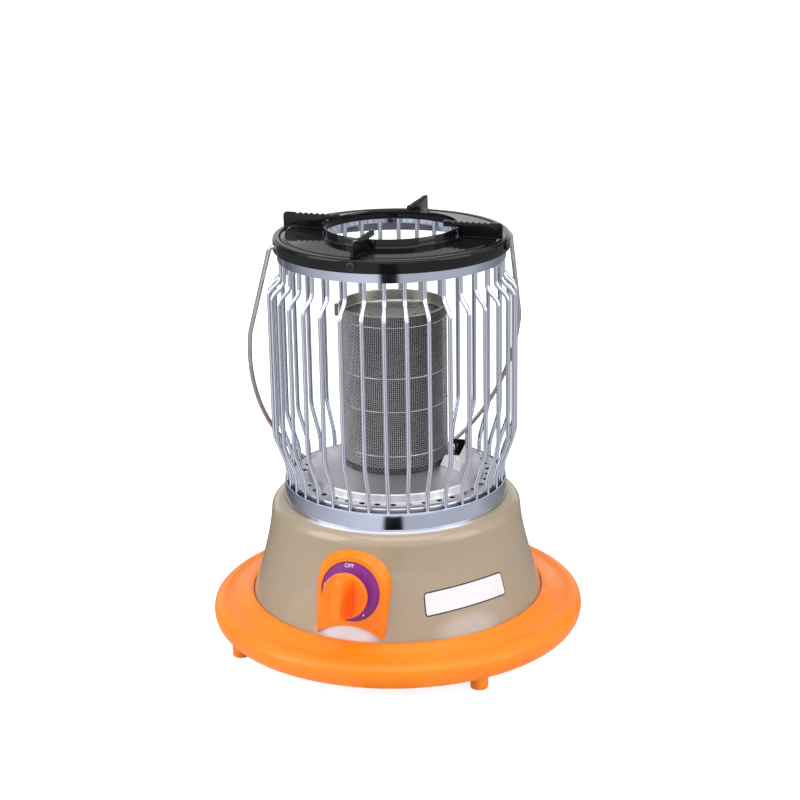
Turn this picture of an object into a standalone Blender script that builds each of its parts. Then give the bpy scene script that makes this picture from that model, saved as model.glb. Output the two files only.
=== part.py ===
# Catalytic gas heater stove. A round burner stands in a cage of bent guard wires, on a
# flared housing in an orange base ring, under an enamelled plate with four pot supports.
# Metres, +Z up, origin on the floor under the middle. The knob faces -Y.
import math

import bmesh
import bpy
from mathutils import Matrix, Vector

# Fits that several pieces share
GAP = 0.0003
OVERRUN = 0.002
RUNNING_FIT = 0.0003
ROUND_SEGMENTS = 36
BURNER_SEGMENTS = 24
SMALL_SEGMENTS = 10
FASTENER_SEGMENTS = 8
CORNER_STEPS = 2
SHARP_ANGLE = math.radians(32)

# Base ring, moulded in one with four bosses for the feet
RING_R = 0.170
RING_RIM_Z = 0.0117
RING_BRIM_WIDTH = 0.0369
RING_LIP_HEIGHT = 0.0023
RING_LIP_WIDTH = 0.0037
RING_WALL = 0.0026
RING_SHELF_WIDTH = 0.0151
RING_SHELF_WALL = 0.0027
RING_SHELF_Z = 0.0372
RING_STEPS = 2
# Outward and upward shares of the way from the rim to the lip, lip first
RING_SHARES = (
    (0.0, 0.995),
    (0.479, 0.735),
    (0.730, 0.781),
    (0.935, 0.640),
    (1.0, 0.406),
    (0.890, 0.0),
)

# Feet, pushed into the ring's bosses
FOOT_COUNT = 4
FOOT_FIRST_ANGLE = math.radians(45)
FOOT_INSET = 0.0125
FOOT_R = 0.0078
FOOT_EDGE = 0.0014
FOOT_STEM_R = 0.0039
FOOT_STEM_LENGTH = 0.0100
FOOT_BOSS_LENGTH = 0.0200

# Housing, spun from painted sheet
HOUSING_SHEET = 0.0008
HOUSING_HEIGHT = 0.0915
HOUSING_FLARE_POWER = 1.4
HOUSING_FLARE_STEPS = 3
HOUSING_FLANGE_WIDTH = 0.0125
SHOULDER_WIDTH = 0.0126
SHOULDER_STEPS = 3
FOLD_SHARE = 0.1
LEDGE_DROP = 0.0110
LEDGE_WIDTH = 0.0175

# Floor pan with its ring of air holes
PAN_SHEET = 0.0010
PAN_INSET = 0.0016
PAN_BRIM_WIDTH = 0.0195
PAN_DEPTH = 0.0042
PAN_SLOPE = 0.0040
PAN_HOLE_COUNT = 6
PAN_HOLE_R = 0.0060
PAN_HOLE_INSET = 0.0220

# Guard cage: two rolled bands with bent wires welded inside them
BAND_R = 0.1007
BAND_SHEET = 0.0010
LOWER_BAND_HEIGHT = 0.0273
UPPER_BAND_HEIGHT = 0.0190
WIRE_COUNT = 36
WIRE_FIRST_ANGLE = math.radians(5)
WIRE_R = 0.0020
WIRE_SIDES = 5
WELD_BITE = 0.0005
WIRE_FOOT_RISE = 0.0077
WIRE_HEAD_DROP = 0.0030
WIRE_LOWER_STRAIGHT = 0.0139
WIRE_LOWER_STEP = 0.0305
WIRE_UPPER_STEP = 0.0100
WIRE_UPPER_STRAIGHT = 0.0182
WIRE_BELLY = 0.0111
WIRE_BEND_R = 0.0070

# Enamelled top plate, pressed with a collar round its hole and a turned down rim
PLATE_SHEET = 0.0009
PLATE_RIM_CLEARANCE = 0.0026
PLATE_RISE = 0.2522
PLATE_RIM_DEPTH = 0.0115
PLATE_EDGE_R = 0.0026
COLLAR_R = 0.0586
COLLAR_HEIGHT = 0.0076
COLLAR_BEND_R = 0.0020

# Pot supports, four notched blades on feet
SUPPORT_COUNT = 4
SUPPORT_REACH = 0.0106
SUPPORT_INSET = 0.0032
SUPPORT_THICKNESS = 0.0033
SUPPORT_HEIGHT = 0.0138
SUPPORT_END_R = 0.0030
SUPPORT_FLAT = 0.0105
SUPPORT_ARM_CLEARANCE = 0.0009
SUPPORT_TIP_FLAT = 0.0050
NOTCH_PITCH = 0.0053
NOTCH_LENGTH = 0.0038
NOTCH_DEPTH = 0.0010
NOTCH_STEPS = 3
SUPPORT_FOOT_WIDTH = 0.0072
SUPPORT_FOOT_HEIGHT = 0.0011
SUPPORT_TAB_WIDTH = 0.0110
SUPPORT_TAB_THICKNESS = 0.0013
SUPPORT_TAB_RISE = 0.0026

# Screws, listed as head radius, head height and shank radius
HEAD_TAPER_SHARE = 0.75
RIM_SCREW = (0.00385, 0.0021, 0.0019)
RIM_SCREW_DROP = 0.0057
RIM_SCREW_LENGTH = 0.0085
BASE_SCREW = (0.0036, 0.0021, 0.0018)
BASE_SCREW_COUNT = 4
BASE_SCREW_LENGTH = 0.0085

# Bail handle, a sprung wire hooked through the rim of the plate
BAIL_AZIMUTH = math.radians(30)
BAIL_AXIS_DROP = 0.0064
BAIL_WIRE_R = 0.0020
BAIL_HOOK_INSET = 0.0107
BAIL_ELBOW_OUT = 0.0034
BAIL_ELBOW_R = 0.0042
BAIL_SPREAD = 0.0208
BAIL_KNEE_DROP = 0.0960
BAIL_ARC_DROP = 0.1080
BAIL_REST_DROP = 0.0259
BAIL_REST_CLEARANCE = 0.0009
BAIL_ARC_STEPS = 9
BAIL_SIDE_SHIFT = 0.0018

# Dish under the burner, pressed from plated sheet, with holes in its groove
DISH_SHEET = 0.0008
DISH_EYE_R = 0.0240
DISH_SEAT_MARGIN = 0.0017
DISH_SEAT_RISE = 0.0450
DISH_CONE_FALL = 0.0082
DISH_STEP_WIDTH = 0.0033
DISH_GROOVE_RISE = 0.0295
DISH_GROOVE_WIDTH = 0.0052
DISH_BEAD_WIDTH = 0.0085
DISH_BEAD_HEIGHT = 0.0009
BEAD_STEPS = 2
DISH_SKIRT_INSET = 0.0057
DISH_HOLE_COUNT = 38
DISH_HOLE_FIRST_ANGLE = math.radians(3)
DISH_HOLE_R = 0.0021

# Burner: a wire gauze sleeve on the dish, a cup and a catalyst sleeve in it, and a cap
GAUZE_R = 0.0480
GAUZE_WALL = 0.0006
GAUZE_HEIGHT = 0.1429
CUP_WALL = 0.0010
CUP_HEIGHT = 0.0045
CUP_EYE_R = 0.0175
CATALYST_CLEARANCE = 0.0034
CATALYST_WALL = 0.0018
CAP_SHEET = 0.0006
CAP_DEPTH = 0.0105
CAP_LIP = 0.0005
CAP_EAR_AZIMUTH = math.radians(199)
CAP_EAR_STANDOFF = 0.0013
CAP_EAR_WIDTH = 0.0070
CAP_EAR_OUT = 0.0045
CAP_EAR_HEIGHT = 0.0100
CAP_DISC_R = 0.0215
CAP_DISC_HEIGHT = 0.0016

# Mixing tube with the gas injector in its foot
MIXER_WALL = 0.0010
MIXER_MOUTH_R = 0.0145
MIXER_THROAT_R = 0.0105
MIXER_FOOT_RISE = 0.0385
MIXER_CHAMBER_HEIGHT = 0.0200
MIXER_THROAT_HEIGHT = 0.0120
MIXER_TOP_BAND = 0.0120
MIXER_PORT_COUNT = 4
MIXER_PORT_R = 0.0050
INJECTOR_R = 0.0034
INJECTOR_HEX_R = 0.0060
INJECTOR_HEX_HEIGHT = 0.0070
INJECTOR_REACH = 0.0080
INJECTOR_BORE_R = 0.0008

# Control panel on the housing: the frame's Z points out along the knob's axis
PANEL_STANDOFF = 0.00554
PANEL_RISE = 0.0406
PANEL_TILT = math.radians(7.5)
BEZEL_HALF_WIDTH = 0.0305
BEZEL_WALL = 0.0024
BEZEL_FACE_WALL = 0.0020
BEZEL_EDGE_R = 0.0022
BEZEL_DEPTH = 0.0400
BEZEL_CLEARANCE = 0.0015
BEZEL_RIM_WIDTH = 0.0040
BEZEL_ARC_STEPS = 12
BEZEL_BOSS_WALL = 0.0016
BEZEL_BOSS_DEPTH = 0.0062
BEZEL_HUB_HOLE_R = 0.0085
DIAL_THICKNESS = 0.0010
DIAL_RECESS = 0.0022
DIAL_HOLE_R = 0.0072
KNOB_INSET = 0.0055
KNOB_STANDOFF = 0.0045
KNOB_FRONT = 0.0170
KNOB_EDGE_R = 0.0024
KNOB_WALL = 0.0022
KNOB_HUB_R = 0.0060
KNOB_GRIP_HEIGHT = 0.0210
KNOB_GRIP_FOOT = 0.0140
KNOB_GRIP_TOP = 0.0085
KNOB_GRIP_EDGE_R = 0.0018
KNOB_BORE_DEPTH = 0.0085
KNOB_TRAVEL = 0.0030
STEM_R = 0.0030

# Gas valve behind the panel, on its bracket
BRACKET_SHEET = 0.0012
BRACKET_DEPTH = 0.0112
BRACKET_HALF_WIDTH = 0.0200
BRACKET_RISE = 0.0210
BRACKET_DROP = 0.0300
BRACKET_HEEL_INSET = 0.0060
BRACKET_FOOT_LENGTH = 0.0220
VALVE_NECK_R = 0.0060
VALVE_NECK_OUT = 0.0050
VALVE_BODY_R = 0.0120
VALVE_BODY_LENGTH = 0.0300
VALVE_PORT_R = 0.0060
VALVE_PORT_LENGTH = 0.0075
STEM_IN_VALVE = 0.0140
PLUNGER_R = 0.0022
PLUNGER_LENGTH = 0.0080
IGNITER_SIZE = (0.0200, 0.0220, 0.0180)
IGNITER_EDGE = 0.0015

# Gas pipes and the hose nipple at the back
PIPE_R = 0.0030
PIPE_BEND_R = 0.0110
PIPE_RUN_RISE = 0.0075
INLET_SIDE = 0.0420
NIPPLE_RISE = 0.0245
NIPPLE_R = 0.0042
NIPPLE_BARB_R = 0.0048
NIPPLE_BARB_COUNT = 3
NIPPLE_BARB_PITCH = 0.0060
NIPPLE_COLLAR_R = 0.0085
NIPPLE_COLLAR_LENGTH = 0.0040
NIPPLE_THREAD_R = 0.0050
NIPPLE_THREAD_LENGTH = 0.0120
NIPPLE_BORE_R = 0.0025
NUT_R = 0.0090
NUT_HEIGHT = 0.0045

# Igniter tip, flame sensor and their shield, beside the burner
SHIELD_AZIMUTH = math.radians(6)
SHIELD_SHEET = 0.0008
SHIELD_STANDOFF = 0.0155
SHIELD_LAP = 0.0028
SHIELD_TAPER = 0.0046
SHIELD_BACK_CLEARANCE = 0.0028
SHIELD_FRONT = 0.0192
SHIELD_BACK = 0.0105
SHIELD_FRONT_RISE = 0.0105
SHIELD_SIDE_RISE = 0.0120
SHIELD_BACK_RISE = 0.0160
PROBE_STANDOFF = 0.0080
ELECTRODE_SIDE = -0.0080
ELECTRODE_R = 0.0010
ELECTRODE_FOOT_DROP = 0.0180
ELECTRODE_RISE = 0.0160
ELECTRODE_TIP_GAP = 0.0040
INSULATOR_R = 0.0034
INSULATOR_COLLAR_R = 0.0048
INSULATOR_FOOT_DROP = 0.0155
INSULATOR_RISE = 0.0080
SENSOR_SIDE = 0.0035
SENSOR_R = 0.0021
SENSOR_COLLAR_R = 0.0036
SENSOR_FOOT_DROP = 0.0170
SENSOR_RISE = 0.0120

# Finishes: base colour, roughness, metallic
FINISHES = {
    "orange_plastic": ((1.0, 0.262, 0.021), 0.38, 0.0),
    "champagne_paint": ((0.456, 0.366, 0.254), 0.34, 0.15),
    "black_enamel": ((0.012, 0.012, 0.014), 0.16, 0.0),
    "black_screw": ((0.020, 0.020, 0.022), 0.35, 0.6),
    "chrome": ((0.62, 0.64, 0.68), 0.12, 1.0),
    "bright_wire": ((0.42, 0.40, 0.37), 0.22, 1.0),
    "plated_sheet": ((0.42, 0.41, 0.42), 0.30, 1.0),
    "dull_steel": ((0.30, 0.29, 0.28), 0.42, 1.0),
    "gauze": ((0.155, 0.148, 0.138), 0.50, 0.8),
    "catalyst": ((0.075, 0.068, 0.062), 0.90, 0.0),
    "brass": ((0.60, 0.42, 0.16), 0.28, 1.0),
    "copper_pipe": ((0.62, 0.30, 0.16), 0.30, 1.0),
    "cast_alloy": ((0.36, 0.36, 0.37), 0.45, 0.9),
    "purple_print": ((0.283, 0.040, 0.328), 0.45, 0.0),
    "ceramic": ((0.86, 0.84, 0.78), 0.35, 0.0),
    "black_plastic": ((0.025, 0.025, 0.027), 0.50, 0.0),
}

# Radii that follow from the sizes above
SHOULDER_WALL_R = BAND_R + GAP
HOUSING_TOP_R = SHOULDER_WALL_R + SHOULDER_WIDTH
SHOULDER_R = SHOULDER_WIDTH / (1 + FOLD_SHARE)
FOLD_R = SHOULDER_R * FOLD_SHARE
HOUSING_FOOT_R = RING_R - RING_BRIM_WIDTH
RING_LIP_R = HOUSING_FOOT_R + GAP + GAP
RING_SHELF_R = HOUSING_FOOT_R - RING_SHELF_WIDTH
FOOT_CIRCLE_R = RING_R - FOOT_INSET
PAN_R = HOUSING_FOOT_R - PAN_INSET
PAN_FLOOR_R = PAN_R - PAN_BRIM_WIDTH
PAN_HOLE_CIRCLE_R = PAN_FLOOR_R - PAN_HOLE_INSET
BRACKET_HEEL_R = PAN_FLOOR_R - BRACKET_HEEL_INSET
WIRE_SEAT_R = (BAND_R - BAND_SHEET) * math.cos(math.pi / WIRE_COUNT) - WIRE_R + WELD_BITE
PLATE_R = BAND_R + PLATE_RIM_CLEARANCE + PLATE_SHEET
COLLAR_OUT_R = COLLAR_R + PLATE_SHEET
SUPPORT_IN_R = COLLAR_R - SUPPORT_REACH
SUPPORT_OUT_R = PLATE_R - SUPPORT_INSET
BAIL_HALF_WIDTH = PLATE_R + BAIL_SPREAD
CAP_R = GAUZE_R - GAUZE_WALL - GAP
CATALYST_R = GAUZE_R - GAUZE_WALL - CATALYST_CLEARANCE
MIXER_TOP_R = CUP_EYE_R - GAP - GAP
DISH_SEAT_R = GAUZE_R + DISH_SEAT_MARGIN
DISH_SKIRT_R = BAND_R - DISH_SKIRT_INSET
DISH_GROOVE_R = DISH_SKIRT_R - DISH_BEAD_WIDTH - DISH_GROOVE_WIDTH
DISH_CONE_R = DISH_GROOVE_R - DISH_STEP_WIDTH
DIAL_R = BEZEL_HALF_WIDTH - BEZEL_RIM_WIDTH
KNOB_R = DIAL_R - KNOB_INSET
BOSS_R = DIAL_R + GAP + BEZEL_BOSS_WALL
PROBE_OUT = GAUZE_R + PROBE_STANDOFF
SHIELD_OUT = GAUZE_R + SHIELD_STANDOFF
SHIELD_IN = GAUZE_R - SHIELD_LAP
SHIELD_BACK_IN = GAUZE_R + SHIELD_BACK_CLEARANCE

# Heights that follow, from the ring upwards
RING_LIP_Z = RING_SHELF_Z + RING_LIP_HEIGHT
PAN_TOP_Z = RING_SHELF_Z - RING_SHELF_WALL - GAP
PAN_FLOOR_Z = PAN_TOP_Z - PAN_DEPTH
HOUSING_FOOT_Z = RING_SHELF_Z + GAP
HOUSING_TOP_Z = HOUSING_FOOT_Z + HOUSING_HEIGHT
SHOULDER_Z = HOUSING_TOP_Z - SHOULDER_R
BEZEL_LOW_Z = RING_LIP_Z + BEZEL_CLEARANCE
PANEL_Z = BEZEL_LOW_Z + PANEL_RISE
MIXER_FOOT_Z = HOUSING_FOOT_Z + MIXER_FOOT_RISE
PIPE_RUN_Z = HOUSING_FOOT_Z + PIPE_RUN_RISE
NIPPLE_Z = HOUSING_FOOT_Z + NIPPLE_RISE
LEDGE_Z = HOUSING_TOP_Z - LEDGE_DROP
DISH_SEAT_Z = LEDGE_Z + DISH_SEAT_RISE
DISH_CONE_Z = DISH_SEAT_Z - DISH_CONE_FALL
DISH_GROOVE_Z = LEDGE_Z + DISH_GROOVE_RISE
DISH_BEAD_Z = DISH_GROOVE_Z + DISH_BEAD_HEIGHT
CUP_FLOOR_Z = DISH_SEAT_Z + GAP
MIXER_TOP_Z = CUP_FLOOR_Z + CUP_WALL
CATALYST_LOW_Z = CUP_FLOOR_Z + CUP_WALL + GAP
GAUZE_LOW_Z = DISH_SEAT_Z + GAP
GAUZE_TOP_Z = GAUZE_LOW_Z + GAUZE_HEIGHT
CAP_TOP_Z = GAUZE_TOP_Z + GAP + CAP_SHEET
CAP_FLOOR_Z = CAP_TOP_Z - CAP_DEPTH
SHIELD_FRONT_Z = DISH_SEAT_Z + SHIELD_FRONT_RISE
SHIELD_SIDE_Z = DISH_SEAT_Z + SHIELD_SIDE_RISE
SHIELD_BACK_Z = DISH_SEAT_Z + SHIELD_BACK_RISE
ELECTRODE_LOW_Z = DISH_SEAT_Z - ELECTRODE_FOOT_DROP
ELECTRODE_BEND_Z = DISH_SEAT_Z + ELECTRODE_RISE
INSULATOR_LOW_Z = DISH_SEAT_Z - INSULATOR_FOOT_DROP
INSULATOR_HIGH_Z = DISH_SEAT_Z + INSULATOR_RISE
SENSOR_LOW_Z = DISH_SEAT_Z - SENSOR_FOOT_DROP
SENSOR_HIGH_Z = DISH_SEAT_Z + SENSOR_RISE
PLATE_TOP_Z = LEDGE_Z + PLATE_RISE
PLATE_RIM_Z = PLATE_TOP_Z - PLATE_RIM_DEPTH
COLLAR_Z = PLATE_TOP_Z + COLLAR_HEIGHT
LOWER_BAND_Z = LEDGE_Z + GAP
LOWER_BAND_TOP_Z = LOWER_BAND_Z + LOWER_BAND_HEIGHT
UPPER_BAND_TOP_Z = PLATE_TOP_Z - PLATE_SHEET - GAP
UPPER_BAND_LOW_Z = UPPER_BAND_TOP_Z - UPPER_BAND_HEIGHT
WIRE_LOW_Z = LOWER_BAND_Z + WIRE_FOOT_RISE
WIRE_LOWER_BEND_Z = LOWER_BAND_TOP_Z + WIRE_LOWER_STRAIGHT
WIRE_LOWER_KNEE_Z = WIRE_LOWER_BEND_Z + WIRE_LOWER_STEP
WIRE_UPPER_BEND_Z = UPPER_BAND_LOW_Z - WIRE_UPPER_STRAIGHT
WIRE_UPPER_KNEE_Z = WIRE_UPPER_BEND_Z - WIRE_UPPER_STEP
WIRE_HIGH_Z = UPPER_BAND_TOP_Z - WIRE_HEAD_DROP
SUPPORT_FOOT_Z = PLATE_TOP_Z + GAP
SUPPORT_TOP_Z = PLATE_TOP_Z + SUPPORT_HEIGHT
SUPPORT_ARM_Z = COLLAR_Z + SUPPORT_ARM_CLEARANCE
SUPPORT_TAB_LOW_Z = PLATE_TOP_Z + SUPPORT_TAB_RISE
RIM_SCREW_Z = PLATE_TOP_Z - RIM_SCREW_DROP
BAIL_AXIS_Z = PLATE_TOP_Z - BAIL_AXIS_DROP
BAIL_REST_Z = HOUSING_TOP_Z - BAIL_REST_DROP

# Places along the knob's axis that follow, from the dial inwards
DIAL_FRONT = DIAL_THICKNESS + GAP - DIAL_RECESS
STEM_TOP = DIAL_FRONT + KNOB_STANDOFF + KNOB_BORE_DEPTH - GAP
VALVE_FACE = -BRACKET_DEPTH - BRACKET_SHEET - GAP
VALVE_BACK = VALVE_FACE - VALVE_BODY_LENGTH
STEM_END = VALVE_FACE - STEM_IN_VALVE
VALVE_MIDDLE = VALVE_FACE - VALVE_BODY_LENGTH / 2


def housing_radius(z):
    # Outer radius of the flared wall at a height
    drop_share = (SHOULDER_Z - z) / (SHOULDER_Z - HOUSING_FOOT_Z)
    spread = HOUSING_FOOT_R - HOUSING_TOP_R
    return HOUSING_TOP_R + spread * max(drop_share, 0) ** HOUSING_FLARE_POWER


PANEL_R = housing_radius(PANEL_Z) + PANEL_STANDOFF
PANEL = Matrix.Translation((0, -PANEL_R, PANEL_Z)) @ Matrix.Rotation(
    math.radians(90) - PANEL_TILT, 4, "X"
)
SHIELD_TURN = Matrix.Rotation(SHIELD_AZIMUTH, 4, "Z")
# The bail hangs back until its arc lies on the housing
BAIL_REST_R = housing_radius(BAIL_REST_Z) + BAIL_WIRE_R + BAIL_REST_CLEARANCE
BAIL_REACH = math.hypot(BAIL_AXIS_Z - BAIL_REST_Z, BAIL_REST_R)
# Lays an outline in the YZ plane, to be run along X
SIDE_VIEW = Matrix(((0, 0, 1, 0), (1, 0, 0, 0), (0, 1, 0, 0), (0, 0, 0, 1)))


def dish_height(radius):
    # Height of the dish's cone at a radius
    share = (radius - DISH_SEAT_R) / (DISH_CONE_R - DISH_SEAT_R)
    return DISH_SEAT_Z + (DISH_CONE_Z - DISH_SEAT_Z) * max(share, 0)


def smooth_through(points, steps):
    # Catmull-Rom curve through the points, its ends doubled
    padded = [points[0], *points, points[-1]]
    result = [Vector(points[0])]
    for index in range(len(points) - 1):
        before, start, end, after = (Vector(p) for p in padded[index : index + 4])
        for step in range(1, steps + 1):
            t = step / steps
            bend = (2 * before - 5 * start + 4 * end - after) * t * t
            twist = (3 * start - before - 3 * end + after) * t * t * t
            result.append(start + ((end - before) * t + bend + twist) / 2)
    return result


def rounded(points, radius, steps=CORNER_STEPS):
    # Open line whose inner corners are arcs, no larger than their legs allow
    corners = [Vector(p) for p in points]
    result = [corners[0]]
    for before, corner, after in zip(corners, corners[1:], corners[2:]):
        back = (before - corner).normalized()
        ahead = (after - corner).normalized()
        half = back.angle(ahead) / 2
        leg = min((before - corner).length, (after - corner).length) / 2
        cut_back = min(radius / math.tan(half), leg)
        arc_r = cut_back * math.tan(half)
        centre = corner + (back + ahead).normalized() * (arc_r / math.sin(half))
        first = corner + back * cut_back - centre
        last = corner + ahead * cut_back - centre
        for step in range(steps + 1):
            spoke = first.lerp(last, step / steps)
            if spoke.length > 0:
                result.append(centre + spoke.normalized() * arc_r)
    result.append(corners[-1])
    return result


def arc_points(centre, radius, start_degrees, end_degrees, steps):
    # Points on an arc in the plane of a profile
    result = []
    for step in range(steps + 1):
        share = step / steps
        angle = math.radians(start_degrees + (end_degrees - start_degrees) * share)
        spoke = Vector((math.cos(angle), math.sin(angle))) * radius
        result.append(Vector(centre) + spoke)
    return result


def left_offset(path, distance):
    # The line at a distance to the left of an open profile, mitred at its corners
    points = [Vector(p) for p in path]
    result = []
    for index, point in enumerate(points):
        normals = []
        for start, end in ((index - 1, index), (index, index + 1)):
            if 0 <= start and end < len(points):
                along = (points[end] - points[start]).normalized()
                normals.append(Vector((-along.y, along.x)))
        mitre = (normals[0] + normals[-1]).normalized()
        result.append(point + mitre * (distance / mitre.dot(normals[0])))
    return result


def sheet(path, thickness):
    # Closed outline of a sheet with its face on the path and its body on the left
    return [*path, *reversed(left_offset(path, thickness))]


def turned(outline, segments=ROUND_SEGMENTS):
    # Solid of revolution about Z of a closed outline of radii and heights
    mesh = bmesh.new()
    rings = []
    for radius, z in outline:
        if radius <= 0:
            rings.append([mesh.verts.new((0, 0, z))] * segments)
            continue
        ring = []
        for index in range(segments):
            angle = math.tau * index / segments
            spot = (radius * math.cos(angle), radius * math.sin(angle), z)
            ring.append(mesh.verts.new(spot))
        rings.append(ring)
    for lower, upper in zip(rings, rings[1:] + rings[:1]):
        for index in range(segments):
            after = (index + 1) % segments
            corners = []
            for vert in (lower[index], lower[after], upper[after], upper[index]):
                if vert not in corners:
                    corners.append(vert)
            if len(corners) > 2:
                mesh.faces.new(corners)
    bmesh.ops.recalc_face_normals(mesh, faces=mesh.faces)
    return mesh


def prism(outline, low, high, place=Matrix.Identity(4)):
    # Solid of an outline in X and Y, from one Z to another, set in place
    mesh = bmesh.new()
    floor = [mesh.verts.new((x, y, low)) for x, y in outline]
    roof = [mesh.verts.new((x, y, high)) for x, y in outline]
    mesh.faces.new(floor)
    mesh.faces.new(roof)
    for index in range(len(outline)):
        after = (index + 1) % len(outline)
        mesh.faces.new((floor[index], floor[after], roof[after], roof[index]))
    bmesh.ops.recalc_face_normals(mesh, faces=mesh.faces)
    mesh.transform(place)
    return mesh


def circle(radius, sides, centre=(0, 0)):
    # Outline of a round or a regular polygon
    return [
        (
            centre[0] + radius * math.cos(math.tau * index / sides),
            centre[1] + radius * math.sin(math.tau * index / sides),
        )
        for index in range(sides)
    ]


def box(low, high, place=Matrix.Identity(4)):
    # Block between two corners
    outline = [(low[0], low[1]), (high[0], low[1]), (high[0], high[1]), (low[0], high[1])]
    return prism(outline, low[2], high[2], place)


def merged(meshes):
    # One mesh of several, such as a set of drills
    total = bmesh.new()
    for mesh in meshes:
        carrier = bpy.data.meshes.new("carrier")
        mesh.to_mesh(carrier)
        mesh.free()
        total.from_mesh(carrier)
        bpy.data.meshes.remove(carrier)
    return total


def around(count, first_angle=0.0):
    # Turns about Z that set out a number of copies evenly
    return [
        Matrix.Rotation(first_angle + math.tau * index / count, 4, "Z")
        for index in range(count)
    ]


def out_from_axis(radius, z):
    # Frame whose Z points away from the stove's axis, at a radius and a height
    return Matrix.Translation((radius, 0, z)) @ Matrix.Rotation(math.radians(90), 4, "Y")


def finish(name, kind):
    # Principled material of one piece
    colour, roughness, metallic = FINISHES[kind]
    material = bpy.data.materials.new(name + "_" + kind)
    material.use_nodes = True
    shader = material.node_tree.nodes["Principled BSDF"]
    shader.inputs["Base Color"].default_value = (*colour, 1.0)
    shader.inputs["Roughness"].default_value = roughness
    shader.inputs["Metallic"].default_value = metallic
    material.diffuse_color = (*colour, 1.0)
    return material


def place_object(item, parent=None, place=Matrix.Identity(4)):
    # Link an object into the scene, under a parent and at its place
    bpy.context.scene.collection.objects.link(item)
    item.parent = parent or STOVE
    item.matrix_local = place
    return item


def empty(name, parent, place):
    item = bpy.data.objects.new(name, None)
    return place_object(item, parent, place)


def data_of(name, mesh, kind):
    # Mesh data with its finish, smooth but for its sharp edges
    data = bpy.data.meshes.new(name)
    mesh.to_mesh(data)
    mesh.free()
    data.materials.append(finish(name, kind))
    data.shade_smooth()
    data.set_sharp_from_angle(angle=SHARP_ANGLE)
    return data


def piece(name, mesh, kind, parent=None, place=Matrix.Identity(4)):
    return place_object(bpy.data.objects.new(name, data_of(name, mesh, kind)), parent, place)


def guide(name, mesh, parent=None):
    # A hidden tool for a Boolean
    data = bpy.data.meshes.new(name)
    mesh.to_mesh(data)
    mesh.free()
    item = place_object(bpy.data.objects.new(name, data), parent)
    item.hide_render = True
    item.display_type = "WIRE"
    return item


def boolean(target, tool, operation):
    modifier = target.modifiers.new(tool.name, "BOOLEAN")
    modifier.operation = operation
    modifier.object = tool
    modifier.solver = "EXACT"


def cut(target, mesh, parent=None):
    tool = guide("cut_%s_%d" % (target.name, len(target.modifiers)), mesh, parent)
    boolean(target, tool, "DIFFERENCE")


def fuse(target, mesh, parent=None):
    tool = guide("add_%s_%d" % (target.name, len(target.modifiers)), mesh, parent)
    boolean(target, tool, "UNION")


def wire_curve(name, points, radius):
    # Round wire or pipe along a line, closed at its ends
    curve = bpy.data.curves.new(name, "CURVE")
    curve.dimensions = "3D"
    curve.bevel_depth = radius
    curve.bevel_resolution = 1
    curve.use_fill_caps = True
    spline = curve.splines.new("POLY")
    spline.points.add(len(points) - 1)
    for slot, point in zip(spline.points, points):
        slot.co = (*point, 1.0)
    return curve


def swept(points, radius, sides):
    # Round wire along a line in the XZ plane, mitred at its bends
    mesh = bmesh.new()
    across = Vector((0, 1, 0))
    rings = []
    for index, point in enumerate(points):
        ahead = points[min(index + 1, len(points) - 1)]
        back = points[max(index - 1, 0)]
        legs = [leg.normalized() for leg in (point - back, ahead - point) if leg.length > 0]
        along = (legs[0] + legs[-1]).normalized()
        outward = across.cross(along) / along.dot(legs[0])
        ring = []
        for side in range(sides):
            angle = math.tau * side / sides
            spoke = outward * math.cos(angle) + across * math.sin(angle)
            ring.append(mesh.verts.new(point + spoke * radius))
        rings.append(ring)
    for lower, upper in zip(rings, rings[1:]):
        for side in range(sides):
            after = (side + 1) % sides
            mesh.faces.new((lower[side], lower[after], upper[after], upper[side]))
    mesh.faces.new(rings[0])
    mesh.faces.new(rings[-1])
    bmesh.ops.recalc_face_normals(mesh, faces=mesh.faces)
    return mesh


def wire_piece(name, points, radius, kind, parent=None):
    curve = wire_curve(name, points, radius)
    curve.materials.append(finish(name, kind))
    return place_object(bpy.data.objects.new(name, curve), parent)


def screw_mesh(screw, length):
    # Pan head screw that points down -Z, its seat at zero
    head_r, head_height, shank_r = screw
    outline = [
        (0, -length),
        (shank_r, -length),
        (shank_r, 0),
        (head_r, 0),
        (head_r * HEAD_TAPER_SHARE, head_height),
        (0, head_height),
    ]
    return turned(outline, FASTENER_SEGMENTS)


def screw_set(name, screw, length, turns, seat):
    # Screws of one kind, each its own object, round the stove
    data = data_of(name, screw_mesh(screw, length), "black_screw")
    for number, turn in enumerate(turns, 1):
        item = bpy.data.objects.new("%s_%d" % (name, number), data)
        place_object(item, None, turn @ seat)


def drill(radius, low, high, place=Matrix.Identity(4), sides=SMALL_SEGMENTS):
    return prism(circle(radius, sides), low, high, place)


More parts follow.
